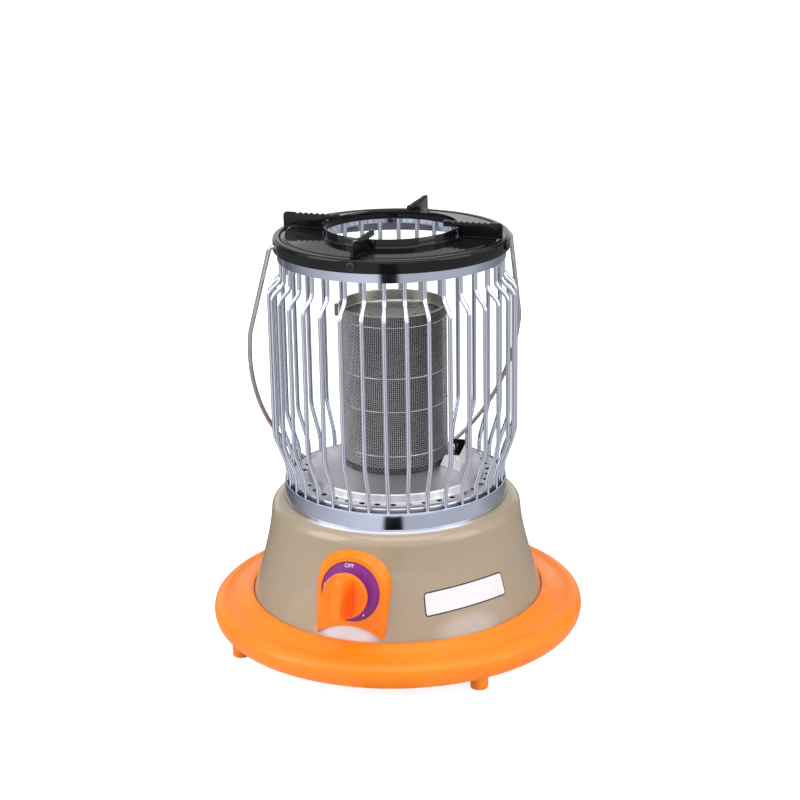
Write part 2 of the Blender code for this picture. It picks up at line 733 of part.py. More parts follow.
def make_base_ring():
    lip_outer = RING_LIP_R + RING_LIP_WIDTH
    crown = [
        (
            lip_outer + out_share * (RING_R - lip_outer),
            RING_RIM_Z + up_share * (RING_LIP_Z - RING_RIM_Z),
        )
        for out_share, up_share in RING_SHARES
    ]
    outer = smooth_through(crown, RING_STEPS)
    inner = left_offset(crown[1:], -RING_WALL)
    inner[-1].y = RING_RIM_Z
    shelf_low = RING_SHELF_Z - RING_SHELF_WALL
    outline = [
        (RING_SHELF_R, RING_SHELF_Z),
        (RING_LIP_R, RING_SHELF_Z),
        (RING_LIP_R, RING_LIP_Z),
        *outer,
        *reversed(inner),
        (lip_outer, shelf_low),
        (RING_SHELF_R, shelf_low),
    ]
    ring = piece("base_ring", turned(outline), "orange_plastic")
    spot = Matrix.Translation((FOOT_CIRCLE_R, 0, RING_RIM_Z))
    turns = around(FOOT_COUNT, FOOT_FIRST_ANGLE)
    bosses = [drill(FOOT_R, 0, FOOT_BOSS_LENGTH, turn @ spot) for turn in turns]
    fuse(ring, merged(bosses))
    bore_r = FOOT_STEM_R + GAP
    bore_length = FOOT_STEM_LENGTH + GAP
    bores = [drill(bore_r, -OVERRUN, bore_length, turn @ spot) for turn in turns]
    cut(ring, merged(bores))
    cut(ring, merged(base_screw_drills()))


def base_screw_turns():
    return around(BASE_SCREW_COUNT)


def base_screw_circle():
    # The screws go through the middle of the housing's flange
    return HOUSING_FOOT_R - HOUSING_FLANGE_WIDTH / 2


def base_screw_drills():
    spot = Matrix.Translation((base_screw_circle(), 0, RING_SHELF_Z))
    reach = BASE_SCREW_LENGTH
    return [
        drill(BASE_SCREW[2] + GAP, -reach, reach, turn @ spot, FASTENER_SEGMENTS)
        for turn in base_screw_turns()
    ]


def make_feet():
    top = RING_RIM_Z - GAP
    outline = [
        (0, 0),
        (FOOT_R - FOOT_EDGE, 0),
        (FOOT_R, FOOT_EDGE),
        (FOOT_R, top),
        (FOOT_STEM_R, top),
        (FOOT_STEM_R, top + FOOT_STEM_LENGTH),
        (0, top + FOOT_STEM_LENGTH),
    ]
    data = data_of("foot", turned(outline, SMALL_SEGMENTS), "orange_plastic")
    for number, turn in enumerate(around(FOOT_COUNT, FOOT_FIRST_ANGLE), 1):
        spot = turn @ Matrix.Translation((FOOT_CIRCLE_R, 0, 0))
        place_object(bpy.data.objects.new("foot_%d" % number, data), None, spot)


def housing_face():
    # Outer face of the housing's sheet, from its flange up, over and down to the ledge
    flare = []
    for step in range(HOUSING_FLARE_STEPS + 1):
        z = HOUSING_FOOT_Z + (SHOULDER_Z - HOUSING_FOOT_Z) * step / HOUSING_FLARE_STEPS
        flare.append((housing_radius(z), z))
    shoulder_centre = (HOUSING_TOP_R - SHOULDER_R, SHOULDER_Z)
    fold_centre = (SHOULDER_WALL_R + FOLD_R, HOUSING_TOP_Z - FOLD_R)
    return [
        (HOUSING_FOOT_R - HOUSING_FLANGE_WIDTH, HOUSING_FOOT_Z),
        *flare,
        *arc_points(shoulder_centre, SHOULDER_R, 0, 90, SHOULDER_STEPS)[1:],
        *arc_points(fold_centre, FOLD_R, 90, 180, 1)[1:],
        (SHOULDER_WALL_R, LEDGE_Z),
        (SHOULDER_WALL_R - LEDGE_WIDTH, LEDGE_Z),
    ]


def make_housing():
    housing = piece("housing_shell", turned(sheet(housing_face(), HOUSING_SHEET)),
                    "champagne_paint")
    window = drill(BOSS_R + GAP, -BEZEL_DEPTH, BEZEL_DEPTH, PANEL, BURNER_SEGMENTS)
    cut(housing, window)
    cut(housing, drill(NIPPLE_THREAD_R + GAP, -NIPPLE_THREAD_LENGTH,
                       NIPPLE_THREAD_LENGTH, nipple_place()))
    cut(housing, merged(base_screw_drills()))


def make_pan():
    face = [
        (0, PAN_FLOOR_Z),
        (PAN_FLOOR_R, PAN_FLOOR_Z),
        (PAN_FLOOR_R + PAN_SLOPE, PAN_TOP_Z),
        (PAN_R, PAN_TOP_Z),
    ]
    under = left_offset(face, -PAN_SHEET)
    outline = [*face, *reversed(under)]
    pan = piece("bottom_plate", turned(outline, BURNER_SEGMENTS), "dull_steel")
    spot = Matrix.Translation((PAN_HOLE_CIRCLE_R, 0, PAN_FLOOR_Z))
    first = math.pi / PAN_HOLE_COUNT
    holes = [
        drill(PAN_HOLE_R, -OVERRUN, OVERRUN, turn @ spot, FASTENER_SEGMENTS)
        for turn in around(PAN_HOLE_COUNT, first)
    ]
    cut(pan, merged(holes))
    cut(pan, merged(base_screw_drills()))


def pipe_outline(radius, wall, low, high):
    return [(radius - wall, low), (radius, low), (radius, high), (radius - wall, high)]


def guard_wire_points():
    # One wire: straight in the lower band, out to the belly, and in to the upper band
    belly_r = WIRE_SEAT_R + WIRE_BELLY
    corners = [
        (WIRE_SEAT_R, 0, WIRE_LOW_Z),
        (WIRE_SEAT_R, 0, WIRE_LOWER_BEND_Z),
        (belly_r, 0, WIRE_LOWER_KNEE_Z),
        (belly_r, 0, WIRE_UPPER_KNEE_Z),
        (WIRE_SEAT_R, 0, WIRE_UPPER_BEND_Z),
        (WIRE_SEAT_R, 0, WIRE_HIGH_Z),
    ]
    # The two shallow lower bends stay mitred, and the two sharper upper ones are rounded
    points = [Vector(corner) for corner in corners]
    return points[:2] + rounded(points[2:], WIRE_BEND_R, 1)


def make_guard_cage():
    bands = merged([
        turned(pipe_outline(BAND_R, BAND_SHEET, LOWER_BAND_Z, LOWER_BAND_TOP_Z), WIRE_COUNT),
        turned(pipe_outline(BAND_R, BAND_SHEET, UPPER_BAND_LOW_Z, UPPER_BAND_TOP_Z),
               WIRE_COUNT),
    ])
    cage = piece("guard_cage", bands, "chrome")
    wires = []
    for turn in around(WIRE_COUNT, WIRE_FIRST_ANGLE):
        wire = swept(guard_wire_points(), WIRE_R, WIRE_SIDES)
        wire.transform(turn)
        wires.append(wire)
    fuse(cage, merged(wires))
    cut(cage, merged(rim_screw_drills() + bail_drills()))


def rim_screw_drills():
    spot = out_from_axis(PLATE_R, RIM_SCREW_Z)
    return [
        drill(RIM_SCREW[2] + GAP, -RIM_SCREW_LENGTH, OVERRUN, turn @ spot,
              FASTENER_SEGMENTS)
        for turn in around(SUPPORT_COUNT)
    ]


def bail_drills():
    spot = out_from_axis(PLATE_R, BAIL_AXIS_Z)
    return [
        drill(BAIL_WIRE_R + RUNNING_FIT, -BAIL_HOOK_INSET, OVERRUN, turn @ spot,
              FASTENER_SEGMENTS)
        for turn in around(2, BAIL_AZIMUTH)
    ]


def make_top_plate():
    edge_centre = (PLATE_R - PLATE_EDGE_R, PLATE_TOP_Z - PLATE_EDGE_R)
    bend_centre = (COLLAR_OUT_R + COLLAR_BEND_R, PLATE_TOP_Z + COLLAR_BEND_R)
    face = [
        (PLATE_R, PLATE_RIM_Z),
        *arc_points(edge_centre, PLATE_EDGE_R, 0, 90, CORNER_STEPS),
        *arc_points(bend_centre, COLLAR_BEND_R, 270, 180, 2),
        (COLLAR_OUT_R, COLLAR_Z),
    ]
    plate = piece("top_plate", turned(sheet(face, PLATE_SHEET)), "black_enamel")
    cut(plate, merged(rim_screw_drills() + bail_drills()))


def support_outline():
    # Side view of a blade: radius along X, height along Y
    heel_r = COLLAR_OUT_R + COLLAR_BEND_R + GAP
    back_r = COLLAR_OUT_R + GAP + SUPPORT_TAB_THICKNESS / 2
    low = SUPPORT_FOOT_Z + SUPPORT_FOOT_HEIGHT / 2
    tip_centre = (SUPPORT_OUT_R - SUPPORT_END_R, SUPPORT_TOP_Z - SUPPORT_END_R)
    points = [
        (heel_r, low),
        (SUPPORT_OUT_R, low),
        *arc_points(tip_centre, SUPPORT_END_R, 0, 90, CORNER_STEPS),
    ]
    room = SUPPORT_OUT_R - SUPPORT_FLAT - SUPPORT_IN_R - SUPPORT_TIP_FLAT
    for index in range(int(room / NOTCH_PITCH)):
        middle = SUPPORT_OUT_R - SUPPORT_FLAT - NOTCH_PITCH * (index + 0.5)
        for step in range(NOTCH_STEPS + 1):
            swing = math.pi * step / NOTCH_STEPS
            points.append((
                middle + NOTCH_LENGTH / 2 * math.cos(swing),
                SUPPORT_TOP_Z - NOTCH_DEPTH * math.sin(swing),
            ))
    points += [
        (SUPPORT_IN_R, SUPPORT_TOP_Z),
        (SUPPORT_IN_R, SUPPORT_ARM_Z),
        (back_r, SUPPORT_ARM_Z),
        (back_r, SUPPORT_TAB_LOW_Z + SUPPORT_TAB_THICKNESS),
    ]
    return points


def make_supports():
    upright = Matrix.Rotation(math.radians(90), 4, "X")
    half = SUPPORT_THICKNESS / 2
    foot_half = SUPPORT_FOOT_WIDTH / 2
    tab_half = SUPPORT_TAB_WIDTH / 2
    foot_in_r = COLLAR_OUT_R + COLLAR_BEND_R + SUPPORT_FOOT_HEIGHT
    tab_r = COLLAR_OUT_R + GAP
    # The tab bends round the collar, so its ends stand back from the round
    tab_rise = math.hypot(tab_r, tab_half) - tab_r
    for number, turn in enumerate(around(SUPPORT_COUNT), 1):
        name = "pot_support_%d" % number
        blade = prism(support_outline(), -half, half, upright)
        item = piece(name, blade, "black_enamel", None, turn)
        foot = box((foot_in_r, -foot_half, SUPPORT_FOOT_Z),
                   (SUPPORT_OUT_R - SUPPORT_END_R, foot_half,
                    SUPPORT_FOOT_Z + SUPPORT_FOOT_HEIGHT))
        fuse(item, foot, item)
        tab_plan = [
            (tab_r, -half),
            (tab_r - tab_rise, -tab_half),
            (tab_r - tab_rise + SUPPORT_TAB_THICKNESS, -tab_half),
            (tab_r + SUPPORT_TAB_THICKNESS, -half),
            (tab_r + SUPPORT_TAB_THICKNESS, half),
            (tab_r - tab_rise + SUPPORT_TAB_THICKNESS, tab_half),
            (tab_r - tab_rise, tab_half),
            (tab_r, half),
        ]
        fuse(item, prism(tab_plan, SUPPORT_TAB_LOW_Z, COLLAR_Z), item)


def make_screws():
    screw_set("rim_screw", RIM_SCREW, RIM_SCREW_LENGTH, around(SUPPORT_COUNT),
              out_from_axis(PLATE_R + GAP, RIM_SCREW_Z))
    seat_z = PAN_TOP_Z - PAN_SHEET - GAP
    upside_down = Matrix.Rotation(math.pi, 4, "X")
    seat = Matrix.Translation((base_screw_circle(), 0, seat_z)) @ upside_down
    screw_set("base_screw", BASE_SCREW, BASE_SCREW_LENGTH, base_screw_turns(), seat)


def bail_points():
    # Half of the bail from its hook to the middle of its arc, then the other half
    hook = PLATE_R - BAIL_HOOK_INSET
    elbow = PLATE_R + BAIL_ELBOW_OUT
    leg = rounded([
        (hook, 0),
        (elbow, 0),
        (BAIL_HALF_WIDTH, BAIL_KNEE_DROP),
        (BAIL_HALF_WIDTH, BAIL_ARC_DROP),
    ], BAIL_ELBOW_R)
    half = leg[:-1]
    for step in range(BAIL_ARC_STEPS + 1):
        angle = math.pi / 2 * step / BAIL_ARC_STEPS
        half.append(Vector((BAIL_HALF_WIDTH * math.cos(angle),
                            BAIL_ARC_DROP + (BAIL_REACH - BAIL_ARC_DROP) * math.sin(angle))))
    whole = half + [Vector((-side, drop)) for side, drop in reversed(half[:-1])]
    # The loop hangs a little to one side, and its legs bend to suit
    return [(side + BAIL_SIDE_SHIFT * min(drop / BAIL_KNEE_DROP, 1), 0, -drop)
            for side, drop in whole]


def make_bail():
    # The empty's X is the hinge axis, and it leans back by the rest angle
    lean = math.asin(BAIL_REST_R / BAIL_REACH)
    turn = Matrix.Rotation(BAIL_AZIMUTH, 4, "Z") @ Matrix.Rotation(lean, 4, "X")
    axis = empty("bail_axis", None, Matrix.Translation((0, 0, BAIL_AXIS_Z)) @ turn)
    wire_piece("bail_handle", bail_points(), BAIL_WIRE_R, "bright_wire", axis)


def dish_face():
    # Upper face of the dish from its eye to the foot of its skirt
    groove_out = DISH_GROOVE_R + DISH_GROOVE_WIDTH
    bead_half = (DISH_SKIRT_R - groove_out) / 2
    bead_rise = DISH_BEAD_Z - DISH_GROOVE_Z
    bead = []
    for step in range(BEAD_STEPS + 1):
        swing = math.pi * (1 - step / BEAD_STEPS)
        bead.append((groove_out + bead_half + bead_half * math.cos(swing),
                     DISH_GROOVE_Z + bead_rise * math.sin(swing)))
    return [
        (DISH_EYE_R, DISH_SEAT_Z),
        (DISH_SEAT_R, DISH_SEAT_Z),
        (DISH_CONE_R, DISH_CONE_Z),
        (DISH_GROOVE_R, DISH_GROOVE_Z),
        *bead,
        (DISH_SKIRT_R, LEDGE_Z + GAP),
    ]


def make_dish():
    face = dish_face()
    under = left_offset(face, -DISH_SHEET)
    outline = [*face, *reversed(under)]
    dish = piece("burner_dish", turned(outline, DISH_HOLE_COUNT), "plated_sheet")
    hole_r = DISH_GROOVE_R + DISH_GROOVE_WIDTH / 2
    spot = Matrix.Translation((hole_r, 0, DISH_GROOVE_Z))
    holes = [
        drill(DISH_HOLE_R, -OVERRUN, OVERRUN, turn @ spot, 6)
        for turn in around(DISH_HOLE_COUNT, DISH_HOLE_FIRST_ANGLE)
    ]
    cut(dish, merged(holes))
    low = DISH_GROOVE_Z - DISH_SEAT_Z
    probes = []
    for side, radius in ((ELECTRODE_SIDE, INSULATOR_R), (SENSOR_SIDE, SENSOR_R)):
        spot = Matrix.Translation((PROBE_OUT, side, DISH_SEAT_Z))
        probes.append(drill(radius + GAP, low, OVERRUN, SHIELD_TURN @ spot))
    cut(dish, merged(probes))


def make_burner():
    cup_inner = CAP_R - CUP_WALL
    cup = [
        (CUP_EYE_R, CUP_FLOOR_Z),
        (CAP_R, CUP_FLOOR_Z),
        (CAP_R, CUP_FLOOR_Z + CUP_HEIGHT),
        (cup_inner, CUP_FLOOR_Z + CUP_HEIGHT),
        (cup_inner, CUP_FLOOR_Z + CUP_WALL),
        (CUP_EYE_R, CUP_FLOOR_Z + CUP_WALL),
    ]
    piece("burner_cup", turned(cup, BURNER_SEGMENTS), "plated_sheet")
    gauze = pipe_outline(GAUZE_R, GAUZE_WALL, GAUZE_LOW_Z, GAUZE_TOP_Z)
    piece("gauze_sleeve", turned(gauze, BURNER_SEGMENTS), "gauze")
    catalyst_top = CAP_FLOOR_Z - CAP_SHEET - GAP
    catalyst = pipe_outline(CATALYST_R, CATALYST_WALL, CATALYST_LOW_Z, catalyst_top)
    piece("catalyst_sleeve", turned(catalyst, BURNER_SEGMENTS), "catalyst")

    lip_r = GAUZE_R + CAP_LIP
    wall_r = CAP_R - CAP_SHEET
    face = [
        (lip_r, CAP_TOP_Z),
        (wall_r, CAP_TOP_Z),
        (wall_r, CAP_FLOOR_Z),
        (0, CAP_FLOOR_Z),
    ]
    outline = sheet(face, CAP_SHEET)
    cap = piece("burner_cap", turned(outline, BURNER_SEGMENTS), "plated_sheet")
    fuse(cap, cap_ear())
    disc = [
        (0, CAP_FLOOR_Z + GAP),
        (CAP_DISC_R, CAP_FLOOR_Z + GAP),
        (CAP_DISC_R, CAP_FLOOR_Z + CAP_DISC_HEIGHT),
        (0, CAP_FLOOR_Z + CAP_DISC_HEIGHT),
    ]
    piece("cap_disc", turned(disc, BURNER_SEGMENTS), "plated_sheet")


def cap_ear():
    # Rounded ear that hangs from the cap's lip outside the gauze
    turn = Matrix.Rotation(CAP_EAR_AZIMUTH, 4, "Z")
    half = CAP_EAR_WIDTH / 2
    stand_off = GAUZE_R + CAP_EAR_STANDOFF
    low = CAP_TOP_Z - CAP_EAR_HEIGHT
    tip = stand_off + CAP_EAR_OUT
    side = [
        (CAP_R, CAP_TOP_Z - CAP_SHEET),
        (stand_off, CAP_TOP_Z - CAP_SHEET),
        (stand_off, low),
        (tip - half, low),
        (tip, low + half),
        (tip, CAP_TOP_Z - half),
        (tip - half, CAP_TOP_Z),
        (CAP_R, CAP_TOP_Z),
    ]
    upright = Matrix.Rotation(math.radians(90), 4, "X")
    return prism(side, -CAP_SHEET, CAP_SHEET, turn @ upright)


def make_mixer():
    chamber_top = MIXER_FOOT_Z + MIXER_CHAMBER_HEIGHT
    bore_r = INJECTOR_R + GAP
    outer = [
        (MIXER_MOUTH_R, MIXER_FOOT_Z),
        (MIXER_MOUTH_R, chamber_top),
        (MIXER_THROAT_R, chamber_top + MIXER_THROAT_HEIGHT),
        (MIXER_TOP_R, MIXER_TOP_Z - MIXER_TOP_BAND),
        (MIXER_TOP_R, MIXER_TOP_Z),
    ]
    inner = left_offset(outer, MIXER_WALL)
    floor = MIXER_FOOT_Z + MIXER_WALL
    inner[0].y = floor
    outline = [(bore_r, MIXER_FOOT_Z), *outer, *reversed(inner), (bore_r, floor)]
    tube = piece("mixing_tube", turned(outline, SMALL_SEGMENTS), "cast_alloy")
    port_z = MIXER_FOOT_Z + MIXER_CHAMBER_HEIGHT / 2
    ports = [
        drill(MIXER_PORT_R, -MIXER_MOUTH_R / 2, MIXER_MOUTH_R,
              turn @ out_from_axis(MIXER_MOUTH_R, port_z))
        for turn in around(MIXER_PORT_COUNT, math.pi / MIXER_PORT_COUNT)
    ]
    cut(tube, merged(ports))

    hex_top = MIXER_FOOT_Z - GAP
    hexagon = prism(circle(INJECTOR_HEX_R, 6), hex_top - INJECTOR_HEX_HEIGHT, hex_top)
    injector = piece("injector", hexagon, "brass")
    fuse(injector, drill(INJECTOR_R, hex_top - GAP, hex_top + INJECTOR_REACH))
    cut(injector, drill(INJECTOR_BORE_R, hex_top - INJECTOR_HEX_HEIGHT - OVERRUN,
                        hex_top + INJECTOR_REACH + OVERRUN, sides=6))


def arch(half_width, foot):
    # Outline of the panel: a half round over straight sides
    crown = arc_points((0, 0), half_width, 0, 180, BEZEL_ARC_STEPS)
    return [*crown, Vector((-half_width, -foot)), Vector((half_width, -foot))]


def housing_envelope():
    # Everything inside the housing's outer face, with a clearance
    grown = left_offset(housing_face()[1:], -GAP)
    wall = [point for point in grown if point.x > SHOULDER_WALL_R]
    return turned([(0, HOUSING_FOOT_Z), *wall, (0, HOUSING_TOP_Z)])


def make_bezel(panel):
    foot = BEZEL_DEPTH
    body = prism(arch(BEZEL_HALF_WIDTH, foot), -BEZEL_DEPTH, 0)
    front = [edge for edge in body.edges if all(vert.co.z >= 0 for vert in edge.verts)]
    bmesh.ops.bevel(body, geom=front, offset=BEZEL_EDGE_R, segments=1, affect="EDGES",
                    profile=0.5)
    bezel = piece("knob_bezel", body, "orange_plastic", panel)
    hollow = prism(arch(BEZEL_HALF_WIDTH - BEZEL_WALL, foot + OVERRUN),
                   -BEZEL_DEPTH - OVERRUN, -BEZEL_FACE_WALL)
    cut(bezel, hollow, panel)
    cut(bezel, housing_envelope())
    below = box((-RING_R, -RING_R, 0), (RING_R, 0, BEZEL_LOW_Z))
    cut(bezel, below)
    sides = BURNER_SEGMENTS
    fuse(bezel, drill(BOSS_R, -BEZEL_BOSS_DEPTH, -BEZEL_EDGE_R / 4, sides=sides), panel)
    recess = drill(DIAL_R + GAP, -DIAL_RECESS, OVERRUN, sides=sides)
    cut(bezel, recess, panel)
    cut(bezel, drill(BEZEL_HUB_HOLE_R, -BEZEL_DEPTH, OVERRUN), panel)

    dial = drill(DIAL_R, -DIAL_RECESS + GAP, DIAL_FRONT, sides=sides)
    dial_plate = piece("dial_plate", dial, "purple_print", panel)
    cut(dial_plate, drill(DIAL_HOLE_R, -DIAL_RECESS - OVERRUN, OVERRUN), panel)


def make_knob(panel):
    # The knob's empty carries the knob and the stem, which turn and push as one
    axis = empty("knob_axis", panel, Matrix.Identity(4))
    back = DIAL_FRONT + KNOB_STANDOFF
    front = DIAL_FRONT + KNOB_FRONT
    bore_end = back + KNOB_BORE_DEPTH
    edge_centre = (KNOB_R - KNOB_EDGE_R, front - KNOB_EDGE_R)
    skin = KNOB_R - KNOB_WALL
    web = front - KNOB_WALL
    bore_r = STEM_R + GAP
    outline = [
        (0, bore_end),
        (bore_r, bore_end),
        (bore_r, back),
        (KNOB_HUB_R, back),
        (KNOB_HUB_R, web),
        (skin - KNOB_EDGE_R, web),
        (skin, web - KNOB_EDGE_R),
        (skin, back),
        (KNOB_R, back),
        *arc_points(edge_centre, KNOB_EDGE_R, 0, 90, CORNER_STEPS),
        (0, front),
    ]
    knob = piece("knob", turned(outline, BURNER_SEGMENTS), "orange_plastic", axis)
    foot = KNOB_GRIP_FOOT / 2
    top = KNOB_GRIP_TOP / 2
    crest = front + KNOB_GRIP_HEIGHT
    section = rounded([
        (-foot, front - KNOB_WALL / 2),
        (-foot, front),
        (-top, crest),
        (top, crest),
        (foot, front),
        (foot, front - KNOB_WALL / 2),
    ], KNOB_GRIP_EDGE_R, 2)
    # The section lies across the knob, so it is turned to run up and down the face
    lengthwise = Matrix.Rotation(math.radians(90), 4, "X")
    grip = prism([tuple(p) for p in section], -KNOB_R, KNOB_R, lengthwise)
    round_off = turned([
        (0, front - KNOB_WALL),
        (KNOB_R - KNOB_EDGE_R / 2, front - KNOB_WALL),
        (KNOB_R - KNOB_EDGE_R, crest - KNOB_EDGE_R),
        (KNOB_R - KNOB_EDGE_R - KNOB_EDGE_R, crest + OVERRUN),
        (0, crest + OVERRUN),
    ], BURNER_SEGMENTS)
    tool = guide("knob_grip", grip, axis)
    boolean(tool, guide("knob_grip_ends", round_off, axis), "INTERSECT")
    boolean(knob, tool, "UNION")

    stem = drill(STEM_R, STEM_END, STEM_TOP)
    piece("valve_stem", stem, "brass", axis)
    plunger_top = STEM_END - GAP
    plunger = drill(PLUNGER_R, plunger_top - PLUNGER_LENGTH, plunger_top)
    piece("valve_plunger", plunger, "brass", panel)


def make_valve(panel):
    neck_top = VALVE_FACE + BRACKET_SHEET + VALVE_NECK_OUT
    plunger_low = STEM_END - GAP - PLUNGER_LENGTH
    stem_bore = STEM_R + RUNNING_FIT
    plunger_bore = PLUNGER_R + RUNNING_FIT
    stem_room = STEM_END - KNOB_TRAVEL - OVERRUN / 2
    plunger_room = plunger_low - KNOB_TRAVEL - OVERRUN / 2
    outline = [
        (0, VALVE_BACK),
        (VALVE_BODY_R, VALVE_BACK),
        (VALVE_BODY_R, VALVE_FACE),
        (VALVE_NECK_R, VALVE_FACE),
        (VALVE_NECK_R, neck_top),
        (stem_bore, neck_top),
        (stem_bore, stem_room),
        (plunger_bore, stem_room),
        (plunger_bore, plunger_room),
        (0, plunger_room),
    ]
    valve = piece("gas_valve", turned(outline, SMALL_SEGMENTS), "cast_alloy", panel)
    port_end = VALVE_BODY_R + VALVE_PORT_LENGTH
    bite = VALVE_BODY_R - VALVE_PORT_R / 2
    down = Matrix.Translation((0, 0, VALVE_MIDDLE)) @ Matrix.Rotation(math.radians(90), 4, "X")
    left = Matrix.Translation((0, 0, VALVE_MIDDLE)) @ Matrix.Rotation(math.radians(-90), 4, "Y")
    ports = [drill(VALVE_PORT_R, bite, port_end, side, 8) for side in (down, left)]
    fuse(valve, merged(ports), panel)

    # Bent strip that stands on the pan: its side view runs from the top down to the foot
    top = PANEL @ Vector((0, BRACKET_RISE, -BRACKET_DEPTH))
    knee = PANEL @ Vector((0, -BRACKET_DROP, -BRACKET_DEPTH))
    floor_z = PAN_FLOOR_Z + GAP
    face = [
        (top.y, top.z),
        (knee.y, knee.z),
        (-BRACKET_HEEL_R, knee.z),
        (-BRACKET_HEEL_R, floor_z),
        (BRACKET_FOOT_LENGTH - BRACKET_HEEL_R, floor_z),
    ]
    half = BRACKET_HALF_WIDTH
    strip = prism(sheet(face, BRACKET_SHEET), -half, half, SIDE_VIEW)
    bracket = piece("valve_bracket", strip, "dull_steel")
    cut(bracket, drill(VALVE_NECK_R + GAP, VALVE_FACE - OVERRUN, OVERRUN - BRACKET_DEPTH, PANEL))

    wide, tall, deep = IGNITER_SIZE
    box_top = VALVE_BACK - GAP
    block = box((-wide / 2, -tall / 2, box_top - deep), (wide / 2, tall / 2, box_top))
    bmesh.ops.bevel(block, geom=block.edges[:], offset=IGNITER_EDGE, segments=1,
                    affect="EDGES", profile=0.5)
    piece("igniter_unit", block, "black_plastic", panel)


def nipple_place():
    # The nipple points straight out of the back of the housing
    back = Matrix.Rotation(math.radians(90), 4, "Z")
    return back @ out_from_axis(housing_radius(NIPPLE_Z), NIPPLE_Z)


def wall_step(reach):
    # How far the wall stands out or in, at a reach below or above the nipple's axis
    return housing_radius(NIPPLE_Z + reach) - housing_radius(NIPPLE_Z)


def make_nipple():
    # The collar's flat face stands off the flared wall by a clearance
    seat = max(wall_step(-NIPPLE_COLLAR_R), wall_step(NIPPLE_COLLAR_R)) + GAP
    outer = [
        (NIPPLE_THREAD_R, -NIPPLE_THREAD_LENGTH),
        (NIPPLE_THREAD_R, seat),
        (NIPPLE_COLLAR_R, seat),
        (NIPPLE_COLLAR_R, seat + NIPPLE_COLLAR_LENGTH),
        (NIPPLE_R, seat + NIPPLE_COLLAR_LENGTH),
    ]
    reach = seat + NIPPLE_COLLAR_LENGTH
    for _ in range(NIPPLE_BARB_COUNT):
        outer.append((NIPPLE_BARB_R, reach + NIPPLE_BARB_PITCH / 4))
        reach += NIPPLE_BARB_PITCH
        outer.append((NIPPLE_R, reach))
    outline = [*outer, (NIPPLE_BORE_R, reach), (NIPPLE_BORE_R, -NIPPLE_THREAD_LENGTH)]
    piece("hose_nipple", turned(outline, SMALL_SEGMENTS), "brass", None, nipple_place())

    inside = min(wall_step(-NUT_R), wall_step(NUT_R))
    sag = NUT_R * NUT_R / housing_radius(NIPPLE_Z) / 2
    face = inside - HOUSING_SHEET - sag - GAP
    nut = piece("nipple_nut", prism(circle(NUT_R, 6), face - NUT_HEIGHT, face),
                "brass", None, nipple_place())
    cut(nut, drill(NIPPLE_THREAD_R + GAP, face - NUT_HEIGHT - OVERRUN, face + OVERRUN), nut)


def make_pipes():
    port_reach = VALVE_BODY_R + VALVE_PORT_LENGTH + GAP
    outlet = PANEL @ Vector((0, -port_reach, VALVE_MIDDLE))
    injector_low = MIXER_FOOT_Z - GAP - INJECTOR_HEX_HEIGHT - GAP
    gas = [
        outlet,
        PANEL @ Vector((0, -port_reach - PIPE_BEND_R, VALVE_MIDDLE)),
        Vector((0, outlet.y / 2, PIPE_RUN_Z)),
        Vector((0, 0, PIPE_RUN_Z)),
        Vector((0, 0, injector_low)),
    ]
    wire_piece("gas_pipe", rounded(gas, PIPE_BEND_R), PIPE_R, "copper_pipe")

    inlet = PANEL @ Vector((-port_reach, 0, VALVE_MIDDLE))
    thread_end = nipple_place() @ Vector((0, 0, -NIPPLE_THREAD_LENGTH - GAP))
    supply = [
        thread_end,
        Vector((0, thread_end.y - PIPE_BEND_R - PIPE_R, NIPPLE_Z)),
        Vector((-INLET_SIDE, INLET_SIDE, NIPPLE_Z)),
        Vector((-INLET_SIDE, inlet.y / 2, NIPPLE_Z)),
        Vector((-INLET_SIDE, inlet.y, inlet.z)),
        inlet,
    ]
    wire_piece("inlet_pipe", rounded(supply, PIPE_BEND_R), PIPE_R, "copper_pipe")


def make_shield():
    # Folded sheet in plan, open towards the burner, highest at its back wall
    face = [
        (SHIELD_IN, -SHIELD_FRONT),
        (SHIELD_OUT, -SHIELD_FRONT),
        (SHIELD_OUT, SHIELD_BACK),
        (SHIELD_BACK_IN, SHIELD_BACK),
    ]
    low = DISH_GROOVE_Z
    walls = prism(sheet(face, SHIELD_SHEET), low, SHIELD_BACK_Z)
    shield = piece("flame_shield", walls, "plated_sheet", None, SHIELD_TURN)
    below = [(0, low - OVERRUN), (DISH_SKIRT_R, low - OVERRUN), (DISH_SKIRT_R, DISH_CONE_Z + GAP),
             (DISH_CONE_R, DISH_CONE_Z + GAP), (DISH_SEAT_R, DISH_SEAT_Z + GAP),
             (0, DISH_SEAT_Z + GAP)]
    cut(shield, turned(below))
    reach = SHIELD_OUT + OVERRUN
    step = SHIELD_BACK - 2 * SHIELD_SHEET
    slope = [
        (-SHIELD_FRONT - OVERRUN, SHIELD_FRONT_Z),
        (-SHIELD_FRONT / 2, SHIELD_FRONT_Z),
        (step, SHIELD_SIDE_Z),
        (step, SHIELD_BACK_Z + OVERRUN),
        (-SHIELD_FRONT - OVERRUN, SHIELD_BACK_Z + OVERRUN),
    ]
    cut(shield, prism(slope, 0, reach, SIDE_VIEW), shield)
    taper = [
        (0, DISH_SEAT_Z),
        (SHIELD_IN, DISH_SEAT_Z),
        (SHIELD_IN + SHIELD_TAPER, SHIELD_FRONT_Z),
        (SHIELD_IN + SHIELD_TAPER, SHIELD_FRONT_Z + OVERRUN),
        (0, SHIELD_FRONT_Z + OVERRUN),
    ]
    upright = Matrix.Rotation(math.radians(90), 4, "X")
    front = prism(taper, SHIELD_FRONT - 2 * SHIELD_SHEET, SHIELD_FRONT + OVERRUN, upright)
    cut(shield, front, shield)


